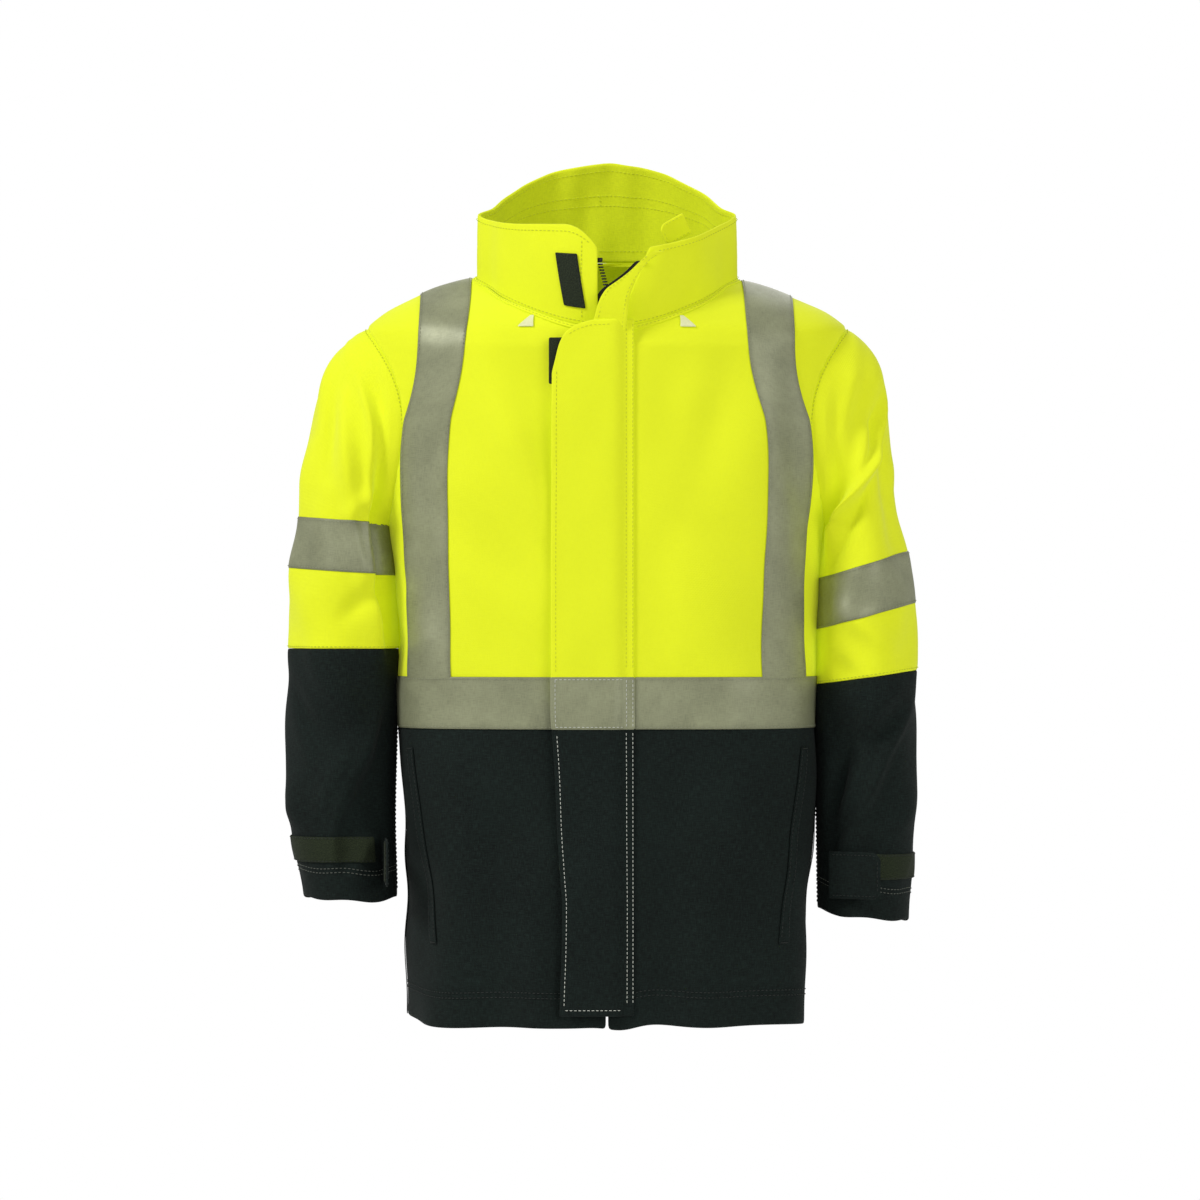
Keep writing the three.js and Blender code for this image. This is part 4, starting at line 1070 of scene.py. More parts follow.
@dataclass(frozen=True)
class Sleeves:
    """Both sleeves: heads, black forearms, tape bands, cuffs with their loop strips and tabs."""

    head_share: float = 0.62        # the share of the upper cloth that curves over the shoulder
    sewn_row: float = 0.028         # where the armhole's stitches run, as a share of the cloth
    under_row: float = 0.503        # where the forearm's seam runs round the arm
    strip_width: float = 25.0
    strip_rise: float = 62.0        # from the cuff's edge to the strip's top
    cuff_rows: tuple[float, float] = (27.0, 31.0)
    tab_length: float = 62.0
    tab_height: float = 46.0
    tab_start: float = 2.4          # from the hinge to the tab's sewn end

    def build(self) -> None:
        """Makes both sleeves."""
        for side in Side:
            self._cloth(side, ARMS[side])
            self._band(side, ARMS[side])
            self._cuff(side, ARMS[side])
            self._tab(side)

    @staticmethod
    def _ring(side: Side, u: Array) -> Array:
        """Turns a share of the way round into an angle; the cloth's seam lies under the arm."""
        return side.value * (u * 2 * np.pi)

    def _surface(self, side: Side, arm: Arm) -> Surface:
        """Makes the whole upper sleeve's surface."""
        share = self.head_share

        def surface(u: Array, v: Array) -> Array:
            """Places a point of the upper sleeve."""
            angle = self._ring(side, u)
            head = arm.head(side.value, angle, np.minimum(v / share, 1))
            low = mix(arm.cap_end + arm.cap_slope * np.cos(angle), arm.seam_z(angle),
                      np.clip((v - share) / (1 - share), 0, 1))
            return np.where((v < share)[..., None], head, arm.at(side.value, angle, low))

        return surface

    @staticmethod
    def _relief(arm: Arm) -> Callable[[Array], Array]:
        """Gives the sleeve's folds, which die out where the head is sewn to the body."""
        def relief(p: Array) -> Array:
            """Tells how far each point rises."""
            out = np.abs(p[:, 0]) - FORM.width(p[:, 1], p[:, 2])
            return arm.relief(p) * np.clip(np.where(p[:, 2] > -252, out / 26, 1), 0, 1)

        return relief

    def _cloth(self, side: Side, arm: Arm) -> None:
        """Makes the sleeve's cloth and its seams."""
        word, core = side.word, side.value * ARM_CORE
        surface, relief = self._surface(side, arm), self._relief(arm)
        net = shell(surface, 72, 78, -CLOTH, 0, wrap=True, core=core, relief=relief)
        piece = make(f"sleeve_upper_{word}_cloth", net, YELLOW_TWILL, 1, replaces=[f"sleeve_upper_{word}"])
        lower = self._lower(side, arm)
        net = shell(lower, 72, 44, -CLOTH - 0.3, 0, wrap=True, core=core, relief=relief)
        piece = make(f"sleeve_lower_{word}_cloth", net, BLACK_TWILL, 1, replaces=[f"sleeve_lower_{word}"])
        joint = seam(surface, (0.0, 0.994), (1.0, 0.994), 0.1, relief, core, steps=240)
        make(f"sleeve_joint_stitches_{word}", joint, YELLOW_THREAD, 0)
        rim = seam(surface, (0.0, self.sewn_row), (1.0, self.sewn_row), 0.1, relief, core, steps=260)
        make(f"armhole_stitches_{word}", rim, YELLOW_THREAD, 0)
        under = seam(lower, (self.under_row, 0.02), (self.under_row, 0.98), 0.1, relief, core)
        make(f"forearm_stitches_{word}", under, BLACK_THREAD, 0)
        facing = self._above_cuff(side, arm, lambda v: mix(HEM_TURN, 0.4, v))
        tube = shell(facing, 72, 4, -2 * CLOTH - 0.6, -CLOTH - 0.4, wrap=True, core=core, relief=relief)
        piece = make(f"cuff_facing_{word}_cloth", tube, BLACK_TWILL, 1, replaces=[f"cuff_facing_{word}"])

    def _above_cuff(self, side: Side, arm: Arm, rise: Curve) -> Surface:
        """Makes a surface round the wrist at heights above the cuff's edge.

        Args:
            side: which sleeve.
            arm: its outline.
            rise: the height above the edge by v.

        Returns:
            The surface, u round the arm.
        """
        def surface(u: Array, v: Array) -> Array:
            """Places a point of the wrist."""
            angle = self._ring(side, u)
            return arm.at(side.value, angle, arm.cuff_z(angle) + rise(v))

        return surface

    def _lower(self, side: Side, arm: Arm) -> Surface:
        """Makes the forearm's surface."""
        def surface(u: Array, v: Array) -> Array:
            """Places a point of the forearm."""
            angle = self._ring(side, u)
            return arm.at(side.value, angle, mix(arm.seam_z(angle), arm.cuff_z(angle), v))

        return surface

    def _band(self, side: Side, arm: Arm) -> None:
        """Makes the tape round the upper arm, with its stitches."""
        core = side.value * ARM_CORE

        def band(u: Array, v: Array) -> Array:
            """Places a point of the tape."""
            angle = self._ring(side, u)
            slope = arm.band_tilt * (1 - np.cos(angle)) / 2
            return arm.at(side.value, angle, arm.band_top + slope - v * TAPE_WIDTH)

        relief = self._relief(arm)
        net = shell(band, 72, 8, 0.25, 0.85, wrap=True, core=core, relief=relief, tape_edges=True)
        piece = make(f"sleeve_tape_{side.word}_band", net, BEAD_TAPE, 1,
                     replaces=[f"sleeve_tape_{side.word}"])
        rows = [seam(band, (0, v), (1, v), 0.85, relief, core, steps=240, radius=TAPE_ROW_THREAD)
                for v in (0.045, 0.955)]
        make(f"sleeve_tape_{side.word}_stitches", Net.joined(rows), TAPE_THREAD, 0)

    def _cuff(self, side: Side, arm: Arm) -> None:
        """Makes the loop strip and the cuff's stitch rows."""
        core, relief, wide = side.value * ARM_CORE, self._relief(arm), self.strip_width

        def strip(u: Array, v: Array) -> Array:
            """Places a point of the loop strip."""
            return arm.at(side.value, mix(*arm.strip, u) * RAD, arm.cuff + self.strip_rise - v * wide)

        net = shell(strip, 48, 8, 0.3, 1.9, core=core, relief=relief)
        piece = make(f"cuff_loop_strip_{side.word}_pile", net, LOOP_STRIP, 1,
                     replaces=[f"cuff_loop_strip_{side.word}"])
        wrist = self._above_cuff(side, arm, lambda v: v)
        rows = [seam(wrist, (0, up), (1, up), 0.1, relief, core, steps=200) for up in self.cuff_rows]
        box = [seam(strip, (0.01, v), (0.99, v), 1.9, relief, core, radius=FINE_THREAD)
               for v in (0.06, 0.94)]
        make(f"cuff_stitches_{side.word}", Net.joined(rows), DIM_THREAD, 0)
        make(f"cuff_loop_stitches_{side.word}", Net.joined(box), BLACK_THREAD, 0)

    def _tab(self, side: Side) -> None:
        """Makes the cuff's tab, standing open, with its hook patch and stitches."""
        x, y, bearing, middle = {Side.RIGHT: (-216, -38, 4, -579), Side.LEFT: (214, -46, 55, -592)}[side]
        word, body = side.word, f"cuff_tab_{side.word}"
        c, s = math.cos(bearing * RAD), math.sin(bearing * RAD)
        long, high, begin = self.tab_length, self.tab_height, self.tab_start
        inner = 1 if bearing > 30 else -1                          # the face that closes on the sleeve

        def on_tab(off: float) -> Surface:
            """Makes a surface at a distance from the tab's middle."""
            def surface(u: Array, v: Array) -> Array:
                """Places a point of the tab; its free corners are rounded and it bows a little."""
                round_off = 7 * np.clip((u - 0.82) / 0.18, 0, 1) ** 2.4
                along = -begin - u * (long - begin)
                up = (v - 0.5) * (high - 2 * round_off)
                bow = off - inner * 0.7 * np.sin(np.pi * u) * np.cos(np.pi * (v - 0.5))
                return points(x + c * bow - s * along, y + s * bow + c * along, middle + up)
            return surface

        beyond = x + 400                                           # both faces look away from it
        net = shell(on_tab(0), 20, 14, -1.0, 1.0, core=beyond)
        piece = make(f"{body}_cloth", net, BLACK_TWILL, 1, body=body, replaces=[body])

        def patch(u: Array, v: Array) -> Array:
            """Places a point of the hook patch."""
            return on_tab(inner * 1.35)(mix(0.07, 0.55, u), mix(0.07, 0.93, v))

        net = shell(patch, 12, 10, -0.7, 0.7, core=beyond)
        piece = make(f"cuff_tab_hook_{word}_pile", net, HOOK_STRIP, 1, body=body,
                     replaces=[f"cuff_tab_hook_{word}"])
        rows = []
        for face in (1, -1):
            edge = on_tab(face * 1.05)
            for a, b in (((0.06, 0.07), (0.93, 0.07)), ((0.06, 0.93), (0.93, 0.93)),
                         ((0.95, 0.1), (0.95, 0.9))):
                t = np.linspace(0, 1, 40)
                path = edge(mix(a[0], b[0], t), mix(a[1], b[1], t))
                rows.append(stitches(path, np.tile([c * face, s * face, 0.0], (40, 1)), radius=FINE_THREAD))
        make(f"{body}_stitches", Net.joined(rows), BLACK_THREAD, 0, body=body)


# ---------------------------------------------------------------- collar
COLLAR_FRONT_DEPTH = 112.0          # how far in front of the middle the collar's front edges stand
RIGHT_EDGE_X = 9.0
LEFT_EDGE_X = 22.0


def collar_point(bearing: Array, h: Array) -> Array:
    """Gives the collar's point at a bearing and a share of its height."""
    base = FORM.at_bearing(bearing, neck_edge(bearing))
    out = base * np.array([1.0, 1.0, 0.0])
    out /= np.linalg.norm(out, axis=-1, keepdims=True)
    turn = np.abs(bearing) / RAD
    turn = np.where(turn > 180, 360 - turn, turn)
    lean = through([(0, 5), (50, 3), (90, -3), (140, -12), (180, -16)])(turn)
    front = np.maximum(0, np.cos(bearing)) ** 2
    top = through(FORM.collar_top)(turn) - np.where(bearing > 0, 26 * front, 0)
    swell = lean * h + 3.5 * np.cos(bearing) ** 2 * np.sin(np.pi * h)
    low = neck_edge(bearing)
    return base + out * swell[..., None] + points(0, 0, 1) * (mix(low, top, h) - base[..., 2])[..., None]


def collar_surface(u: Array, v: Array) -> Array:
    """Places a point of the collar, from the right front (u = 0) round the back to the left front."""
    h = 1 - v
    first = -math.atan2(RIGHT_EDGE_X, COLLAR_FRONT_DEPTH)
    last = -2 * np.pi + np.arctan2(mix(12, 44, h ** 1.3), COLLAR_FRONT_DEPTH)
    b = mix(first, last, u)
    corner = 24 * np.clip(1 - np.minimum(u, 1) / 0.055, 0, 1) ** 2.2 * h ** 2      # a rounded corner
    p = collar_point(np.where(b < -np.pi, b + 2 * np.pi, b), h)
    p[..., 2] -= corner
    return p


def collar_relief(p: Array) -> Array:
    """Tells how the collar's soft swells rise."""
    b = np.arctan2(p[:, 0], -p[:, 1])
    top = np.clip((p[:, 2] + 62) / 60, 0, 1) * (0.35 + 0.65 * np.abs(np.cos(b)))
    return top * (1.5 * np.sin(b * 5 + 0.7) + 1.1 * np.sin(b * 9 + p[:, 2] / 22) + 0.7 * np.sin(b * 17))


@dataclass(frozen=True)
class Collar:
    """The stand collar, its facing, hook patch, chin tab and hood tabs."""

    hood_bearing: float = 38 * RAD  # where the hood tabs lie
    hood_span: float = 0.11
    hood_height: float = 11.0
    tab_length: float = 30.0
    tab_height: float = 22.0
    tab_lean: float = 28 * RAD      # how far the chin tab points down, and how far it turns back
    tab_hinge: tuple[float, float, float] = (78.0, -58.0, 42.0)

    def build(self) -> None:
        """Makes the collar's pieces."""
        net = shell(collar_surface, 130, 26, -1.5, 0.2, relief=collar_relief)
        piece = make("collar_outer_cloth", net, YELLOW_TWILL, 1, replaces=["collar_outer"])
        net = shell(lambda u, v: collar_surface(mix(0.002, 0.998, u), mix(0.006, 0.992, v)), 130, 22,
                    -3.4, -1.6, relief=collar_relief)
        piece = make("collar_facing_cloth", net, YELLOW_BACK_PAINTED_SHADE, 1, replaces=["collar_facing"])
        self._patch()
        self._stitches()
        self._binding()
        self._hood_tabs()
        self._chin()

    @staticmethod
    def _row(path: Callable[[Array], tuple[Array, Array]], lift: float, **row: float) -> Net:
        """Lays stitches along a path given as u and v on the collar."""
        t = np.linspace(0, 1, 260)
        u, v = path(t)
        base = collar_surface(u, v)
        normal = slopes(collar_surface, u, v)
        away = np.sum((normal * base)[:, :2], axis=1)
        normal *= 1 if np.median(away) > 0 else -1
        return stitches(base + normal * (lift + collar_relief(base))[:, None],
                        normal * (1 if lift > 0 else -1), **row)

    def _stitches(self) -> None:
        """Sews the top edge, the neck seam and the front edges, outside and inside."""
        outside = [
            self._row(lambda t: (mix(0.012, 0.988, t), np.full_like(t, 0.075)), 0.25),
            self._row(lambda t: (mix(0.012, 0.988, t), np.full_like(t, 0.955)), 0.25),
            self._row(lambda t: (np.full_like(t, 0.024), mix(0.1, 0.95, t)), 0.25),
        ]
        make("collar_stitches_outside", Net.joined(outside), YELLOW_THREAD, 0)
        inside = [
            self._row(lambda t: (mix(0.02, 0.98, t), np.full_like(t, 0.075)), -3.5),
            self._row(lambda t: (mix(0.02, 0.98, t), np.full_like(t, 0.32)), -3.5),
            self._row(lambda t: (mix(0.02, 0.98, t), np.full_like(t, 0.42)), -3.5),
            self._row(lambda t: (mix(0.02, 0.98, t), np.full_like(t, 0.88)), -3.5),
            self._row(lambda t: (np.full_like(t, 0.5), mix(0.3, 0.44, t)), -3.6),
        ]
        make("collar_stitches_inside", Net.joined(inside), YELLOW_THREAD, 0)

    def _patch(self) -> None:
        """Makes the hook patch on the right front."""
        def spot(u: Array, v: Array) -> Array:
            """Places a point of the patch."""
            b = -(mix(24, 46, u) + mix(5, -3, v)) / COLLAR_FRONT_DEPTH
            return collar_point(b, mix(0.7, 0.17, v))

        net = shell(spot, 14, 26, 0.3, 2.2, relief=collar_relief)
        piece = make("collar_hook_patch_pile", net, HOOK_STRIP, 1, replaces=["collar_hook_patch"])
        rows = [seam(spot, a, b, 2.2, collar_relief, radius=FINE_THREAD) for a, b in (
            ((0.08, 0.03), (0.08, 0.97)), ((0.92, 0.03), (0.92, 0.97)),
            ((0.08, 0.03), (0.92, 0.03)), ((0.08, 0.97), (0.92, 0.97)))]
        make("collar_hook_patch_stitches", Net.joined(rows), BLACK_THREAD, 0)

    def _binding(self) -> None:
        """Makes the felled neck seam, a raised rib where the collar is sewn on."""
        def rib(u: Array, v: Array) -> Array:
            """Places a point of the rib."""
            b = mix(-math.atan2(RIGHT_EDGE_X, COLLAR_FRONT_DEPTH),
                    -2 * np.pi + math.atan2(LEFT_EDGE_X, COLLAR_FRONT_DEPTH), u)
            b = np.where(b < -np.pi, b + 2 * np.pi, b)
            return FORM.at_bearing(b, neck_edge(b) - v * (5.0 - 4.1 * np.sin(b) ** 2))

        net = shell(rib, 130, 3, 0.2, 1.3, relief=FORM.relief)
        piece = make("neck_seam_fell", net, YELLOW_TWILL, 1)
        row = seam(rib, (0.01, 0.5), (0.99, 0.5), 1.3, FORM.relief, steps=260, radius=FINE_THREAD)
        make("neck_seam_stitches", row, YELLOW_THREAD, 0)

    def _hood_tabs(self) -> None:
        """Makes the pale bound openings in the neck seam that a hood fastens to."""
        for side in Side:
            def spot(u: Array, v: Array, side: Side = side) -> Array:
                """Places a point of the tab."""
                wide = self.hood_span * (0.2 + 0.8 * v)
                b = side.value * (self.hood_bearing + (u - 0.5) * wide)
                return FORM.at_bearing(b, neck_edge(self.hood_bearing) - 4 - self.hood_height * v)

            net = shell(spot, 10, 6, 0.6, 2.0, relief=FORM.relief)
            piece = make(f"hood_tab_{side.word}_binding", net, PALE_BINDING, 1,
                         replaces=[f"hood_tab_{side.word}"])

    def _chin(self) -> None:
        """Makes the chin tab inside the left front of the collar."""
        tilt, turn = -self.tab_lean, self.tab_lean

        def surface(u: Array, v: Array) -> Array:
            """Places a point of the tab, rounded at its free end."""
            soft = 5 * np.clip((u - 0.75) / 0.25, 0, 1) ** 2.2
            x, z = -self.tab_length * u, (v - 0.5) * (self.tab_height - 2 * soft)
            y = 1.2 * np.sin(np.pi * u)
            x, z = x * math.cos(tilt) + z * math.sin(tilt), -x * math.sin(tilt) + z * math.cos(tilt)
            x, y = x * math.cos(turn) - y * math.sin(turn), x * math.sin(turn) + y * math.cos(turn)
            return points(x, y, z) + np.array(self.tab_hinge)

        net = shell(surface, 14, 10, -1.0, 1.0)
        piece = make("chin_tab_cloth", net, YELLOW_TWILL, 1, body="chin_tab", replaces=["chin_tab"])
        rows = [seam(surface, a, b, lift, radius=TAPE_ROW_THREAD) for lift in (1.05, -1.05) for a, b in (
            ((0.05, 0.1), (0.9, 0.1)), ((0.05, 0.9), (0.9, 0.9)), ((0.93, 0.15), (0.93, 0.85)))]
        make("chin_tab_stitches", Net.joined(rows), YELLOW_THREAD, 0, body="chin_tab")


# ---------------------------------------------------------------- the front closing
def front_y(z: Array) -> Array:
    """The straight, slightly leaning line of the front edges, as y."""
    return -mix(FORM.front_depth, FORM.hem_depth, (FORM.zip_top - z) / (FORM.zip_top - FORM.hem_z))


def bars(rows: Sequence[tuple[float, float, float, float, float, float]], at: Optional[float] = None) -> Net:
    """Makes a run of small blocks, each from x, y off the front line and z at both ends.

    Args:
        rows: low and high x, low and high distance behind the front line, low and high z.
        at: the y that they are measured from, in place of the front line.

    Returns:
        The net.
    """
    verts, faces = [], []
    for n, (x0, x1, y0, y1, z0, z1) in enumerate(rows):
        for z in (z0, z1):
            back = float(front_y(np.array(z))) if at is None else at
            verts += [(x0, back + y0, z), (x1, back + y0, z), (x1, back + y1, z), (x0, back + y1, z)]
        b = 8 * n
        faces += [(b, b + 3, b + 2, b + 1), (b + 4, b + 5, b + 6, b + 7), (b, b + 1, b + 5, b + 4),
                  (b + 1, b + 2, b + 6, b + 5), (b + 2, b + 3, b + 7, b + 6), (b + 3, b, b + 4, b + 7)]
    corners = np.tile([[0, 0], [0.002, 0], [0.002, 0.002], [0, 0.002]], (len(faces), 1)).astype(float)
    return Net(np.array(verts), faces, corners)


@dataclass(frozen=True)
class Flap:
    """The storm flap's cut and how it hangs."""

    sewn_x: float = 26.0
    fold_x: float = 15.0
    bottom_z: float = -724.0
    stand: float = 7.4              # how far its cloth's middle stands off the front
    half_thick: float = 0.95

    def edge(self, z: Array) -> Array:
        """The free edge's x."""
        return through([(-735, -46), (-700, -45), (-660, -43.5), (-620, -43), (-590, -45), (-547, -48),
                        (-496, -50), (-424, -54), (-300, -54), (-161, -53), (-110, -51), (-89, -49)])(z)

    def top(self, x: Array) -> Array:
        """The top edge's z, rounded towards the free edge."""
        return through([(-56, -112), (-51, -98), (-46, -78), (-39, -66), (-25, -58), (-13, -55),
                        (26, -54)])(x)

    def off(self, x: Array, z: Array) -> Array:
        """How far the flap's middle stands off the front line."""
        rise = through([(-56, 0.86), (-48, 0.92), (-30, 1.0), (0, 1.02), (6, 0.97), (12, 0.72), (16, 0.38),
                        (20, 0.22), (26, 0.18)])(x)
        wave = 0.7 * np.sin(z / 47.0 + x / 30) + 0.5 * np.sin(z / 19.0 - x / 14)
        return self.stand * rise + wave * np.clip((14 - x) / 20, 0, 1) * 0.8

    def piece(self, top: Optional[float], bottom: float, lift: float = 0.0,
              left: float = 0.0, right: float = 0.0) -> Surface:
        """Makes the surface of a part of the flap.

        Args:
            top: its top edge, or None for the flap's own rounded top.
            bottom: its bottom edge.
            lift: how far it lies outside the flap's middle.
            left: how far in from the free edge it starts.
            right: how far in from the sewn edge it ends.

        Returns:
            The surface, from the free edge at u = 0 to the sewn edge at u = 1.
        """
        def surface(u: Array, v: Array) -> Array:
            """Places a point of the flap."""
            rough = mix(-160.0 if top is None else top, bottom, v)
            x = mix(self.edge(rough) + left, self.sewn_x - right, u)
            z = mix(self.top(x) if top is None else top, bottom, v)
            x = np.where(v < 0.3, x, mix(self.edge(z) + left, self.sewn_x - right, u))
            return points(x, front_y(z) - self.off(x, z) - lift, z)

        return surface


FLAP = Flap()


@dataclass(frozen=True)
class FrontClosing:
    """The zip, the storm flap with its tape, and the hook-and-loop strips behind it."""

    tape_top: float = -76.0
    tape_bottom: float = -700.0
    tape_depth: float = 4.1         # how far the zip lies behind the front line
    teeth_top: float = -90.0
    teeth_bottom: float = -684.0
    tooth_pitch: float = 3.0
    tooth_height: float = 1.45
    strip_width: float = 25.0
    strip_height: float = 45.0
    loop_height: float = 31.0

    def build(self) -> None:
        """Makes the whole closing."""
        self._zip()
        self._flap()
        self._strips()
        self._guard()

    def _zip(self) -> None:
        """Makes the zip's tapes and teeth and gives the moulded parts their finish."""
        for side in Side:
            s, word = side.value, side.word

            def tape(u: Array, v: Array, s: int = s) -> Array:
                """Places a point of the zip's tape."""
                z = mix(self.tape_top, self.tape_bottom, v)
                return points(s * mix(3.2, 16, u), front_y(z) + self.tape_depth, z)

            net = shell(tape, 4, 120, -0.45, 0.45)
            piece = make(f"zip_tape_{word}_cloth", net, ZIP_TAPE, 1, replaces=[f"zip_tape_{word}"])
            rows = []
            for n in range(int((self.teeth_top - self.teeth_bottom) / self.tooth_pitch)):
                z = self.teeth_bottom + self.tooth_pitch * (n + (0.5 if s > 0 else 0))
                rows.append((min(s * 0.8, s * 4.0), max(s * 0.8, s * 4.0), 2.1, 4.9,
                             z, z + self.tooth_height))
            make(f"zip_teeth_{word}_row", bars(rows), MOULDED, 0, replaces=[f"zip_teeth_{word}"])
        self._moulded_parts()

    @staticmethod
    def _moulded_parts() -> None:
        """Gives the frame's own moulded parts their finish, laid on from the front."""
        for name in ("zip_slider", "zip_puller", "zip_top_stop_right", "zip_top_stop_left",
                     "zip_bottom_box"):
            node = bpy.data.objects.get(name)
            if node is not None:
                node.data.materials.clear()
                node.data.materials.append(MOULDED.build())
                layer = node.data.uv_layers.new(name="Cloth")
                for corner, place in zip(node.data.loops, layer.data):
                    spot = node.data.vertices[corner.vertex_index].co
                    place.uv = (spot.x, spot.z)

    @staticmethod
    def _hang(piece: bpy.types.Object) -> None:
        """Bakes a piece's placement into its mesh."""
        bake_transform(piece)

    def _sewn(self, name: str, surface: Surface, paths: Sequence[tuple[tuple[float, float], ...]],
              finish: Finish, lift: float) -> None:
        """Sews rows along a part of the flap, each from u, v to u, v."""
        rows = []
        for a, b in paths:
            t = np.linspace(0, 1, 160)
            base = surface(mix(a[0], b[0], t), mix(a[1], b[1], t))
            base[:, 1] -= lift
            rows.append(stitches(base, np.tile([0.0, -1.0, 0.0], (160, 1)), radius=FLAP_THREAD))
        self._hang(make(name, Net.joined(rows), finish, 0, body=None))

    def _flap(self) -> None:
        """Makes the flap's two cloths, its tape and its stitches."""
        thick = FLAP.half_thick
        upper = FLAP.piece(None, FORM.seam_z)
        piece = make("storm_flap_upper_cloth", shell(upper, 44, 90, -thick, thick), YELLOW_TWILL, 1,
                     body=None, replaces=["storm_flap_upper", "storm_flap_seam_upper"])
        self._hang(piece)
        lower = FLAP.piece(FORM.seam_z, FLAP.bottom_z)
        piece = make("storm_flap_lower_cloth", shell(lower, 44, 80, -thick, thick), BLACK_TWILL, 1,
                     body=None, replaces=["storm_flap_lower", "storm_flap_seam_lower"])
        self._hang(piece)
        band = FLAP.piece(WAIST_TOP, WAIST_BOTTOM, thick + 0.45, left=-0.7, right=-0.9)
        piece = make("storm_flap_tape_band", shell(band, 36, 12, -0.35, 0.35, tape_edges=True), BEAD_TAPE, 1,
                     body=None, replaces=["storm_flap_tape"])
        self._hang(piece)
        self._sewn("storm_flap_upper_stitches", upper,
                   [((0.06, 0.05), (0.06, 0.92)), ((0.2, 0.014), (0.75, 0.014)),
                    ((0.905, 0.01), (0.905, 0.92)), ((0.985, 0.01), (0.985, 0.92))], YELLOW_THREAD, thick)
        self._sewn("storm_flap_lower_stitches", lower,
                   [((0.06, 0.1), (0.06, 0.98)), ((0.06, 0.98), (0.87, 0.98)), ((0.905, 0.09), (0.905, 0.97)),
                    ((0.985, 0.09), (0.985, 0.97))], PALE_THREAD, thick)
        self._sewn("storm_flap_tape_stitches", band,
                   [((0.04, 0.05), (0.88, 0.05)), ((0.04, 0.95), (0.88, 0.95)), ((0.06, 0.03), (0.06, 0.97)),
                    ((0.9, 0.03), (0.9, 0.97)), ((0.975, 0.03), (0.975, 0.97))], PALE_THREAD, 0.35)

    def _strips(self) -> None:
        """Makes the hook strips on the right front and the loop strips that meet them."""
        for place, top, left in (("top", -72, -56), ("chest", -250, -46), ("waist", -540, -46)):
            def hook(u: Array, v: Array, left: float = left, top: float = top) -> Array:
                """Places a point of the hook strip."""
                z = mix(top, top - self.strip_height, v)
                return points(mix(left, left + self.strip_width, u), front_y(z) - 3.1, z)

            def loop(u: Array, v: Array, top: float = top) -> Array:
                """Places a point of the loop strip."""
                x, z = mix(-44, -44 + self.strip_width, u), mix(top - 18, top - 18 - self.loop_height, v)
                return points(x, front_y(z) - FLAP.off(x, z) + FLAP.half_thick + 0.75, z)

            piece = make(f"placket_hook_{place}_pile", shell(hook, 10, 16, -0.6, 0.6), HOOK_STRIP, 1,
                         replaces=[f"placket_hook_{place}"])
            piece = make(f"flap_loop_{place}_pile", shell(loop, 10, 12, -0.5, 0.5), LOOP_STRIP, 1,
                         body="storm_flap", replaces=[f"flap_loop_{place}"])

    def _guard(self) -> None:
        """Makes the tongue that carries the flap up the open edge of the collar."""
        free = through([(-80, -14), (-60, -14), (-52, -12), (-38, -8), (-26, -1), (-18, 10), (-9, 22),
                        (1, 32), (8, 40), (12, 47)])
        sewn = through([(-80, 17), (-57, 19), (-38, 21), (-16, 28), (3, 42), (10, 53), (12, 56)])

        def guard(u: Array, v: Array) -> Array:
            """Places a point of the tongue."""
            z = mix(-72.0, 11.5, v)
            x = mix(free(z), sewn(z), u)
            stand = 6.0 + 5 * np.sin(np.pi * v) + 6 * v
            away = np.maximum(0, x - 17)
            return points(x, -107 - stand + away * away / 110 + 1.2 * (u - 0.5) ** 2, z)

        net = shell(guard, 18, 34, -0.95, 0.95, relief=lambda p: 0.5 * np.sin(p[:, 2] / 9 + p[:, 0] / 13))
        piece = make("collar_guard_cloth", net, YELLOW_TWILL, 1, replaces=["collar_guard"])
        rows = [seam(guard, (0.13, 0.12), (0.13, 0.96), 1.0, radius=FINE_THREAD),
                seam(guard, (0.88, 0.05), (0.88, 0.96), 1.0, radius=FINE_THREAD)]
        make("collar_guard_stitches", Net.joined(rows), YELLOW_THREAD, 0)

        def tape(u: Array, v: Array) -> Array:
            """Places a point of the zip tape that runs up the collar."""
            z = mix(-40, 2, v)
            return points(mix(free(z) - 5, free(z) + 8, u), -106 - 3 * v, z)

        piece = make("collar_zip_tape", shell(tape, 6, 14, -0.45, 0.45), ZIP_TAPE, 1)
        blocks = []
        for z in np.arange(-30.0, 1.0, 2.8):                   # the right front's teeth, up to their stop
            x = mix(1.0, -7.0, (z + 30) / 31)
            blocks.append((x - 2.5, x + 2.2, -1.5, 1.5, z, z + 1.4))
        blocks.append((-10.0, -4.2, -1.8, 1.8, 1.5, 5.0))
        make("collar_zip_teeth", bars(blocks, at=-105.0), MOULDED, 0)


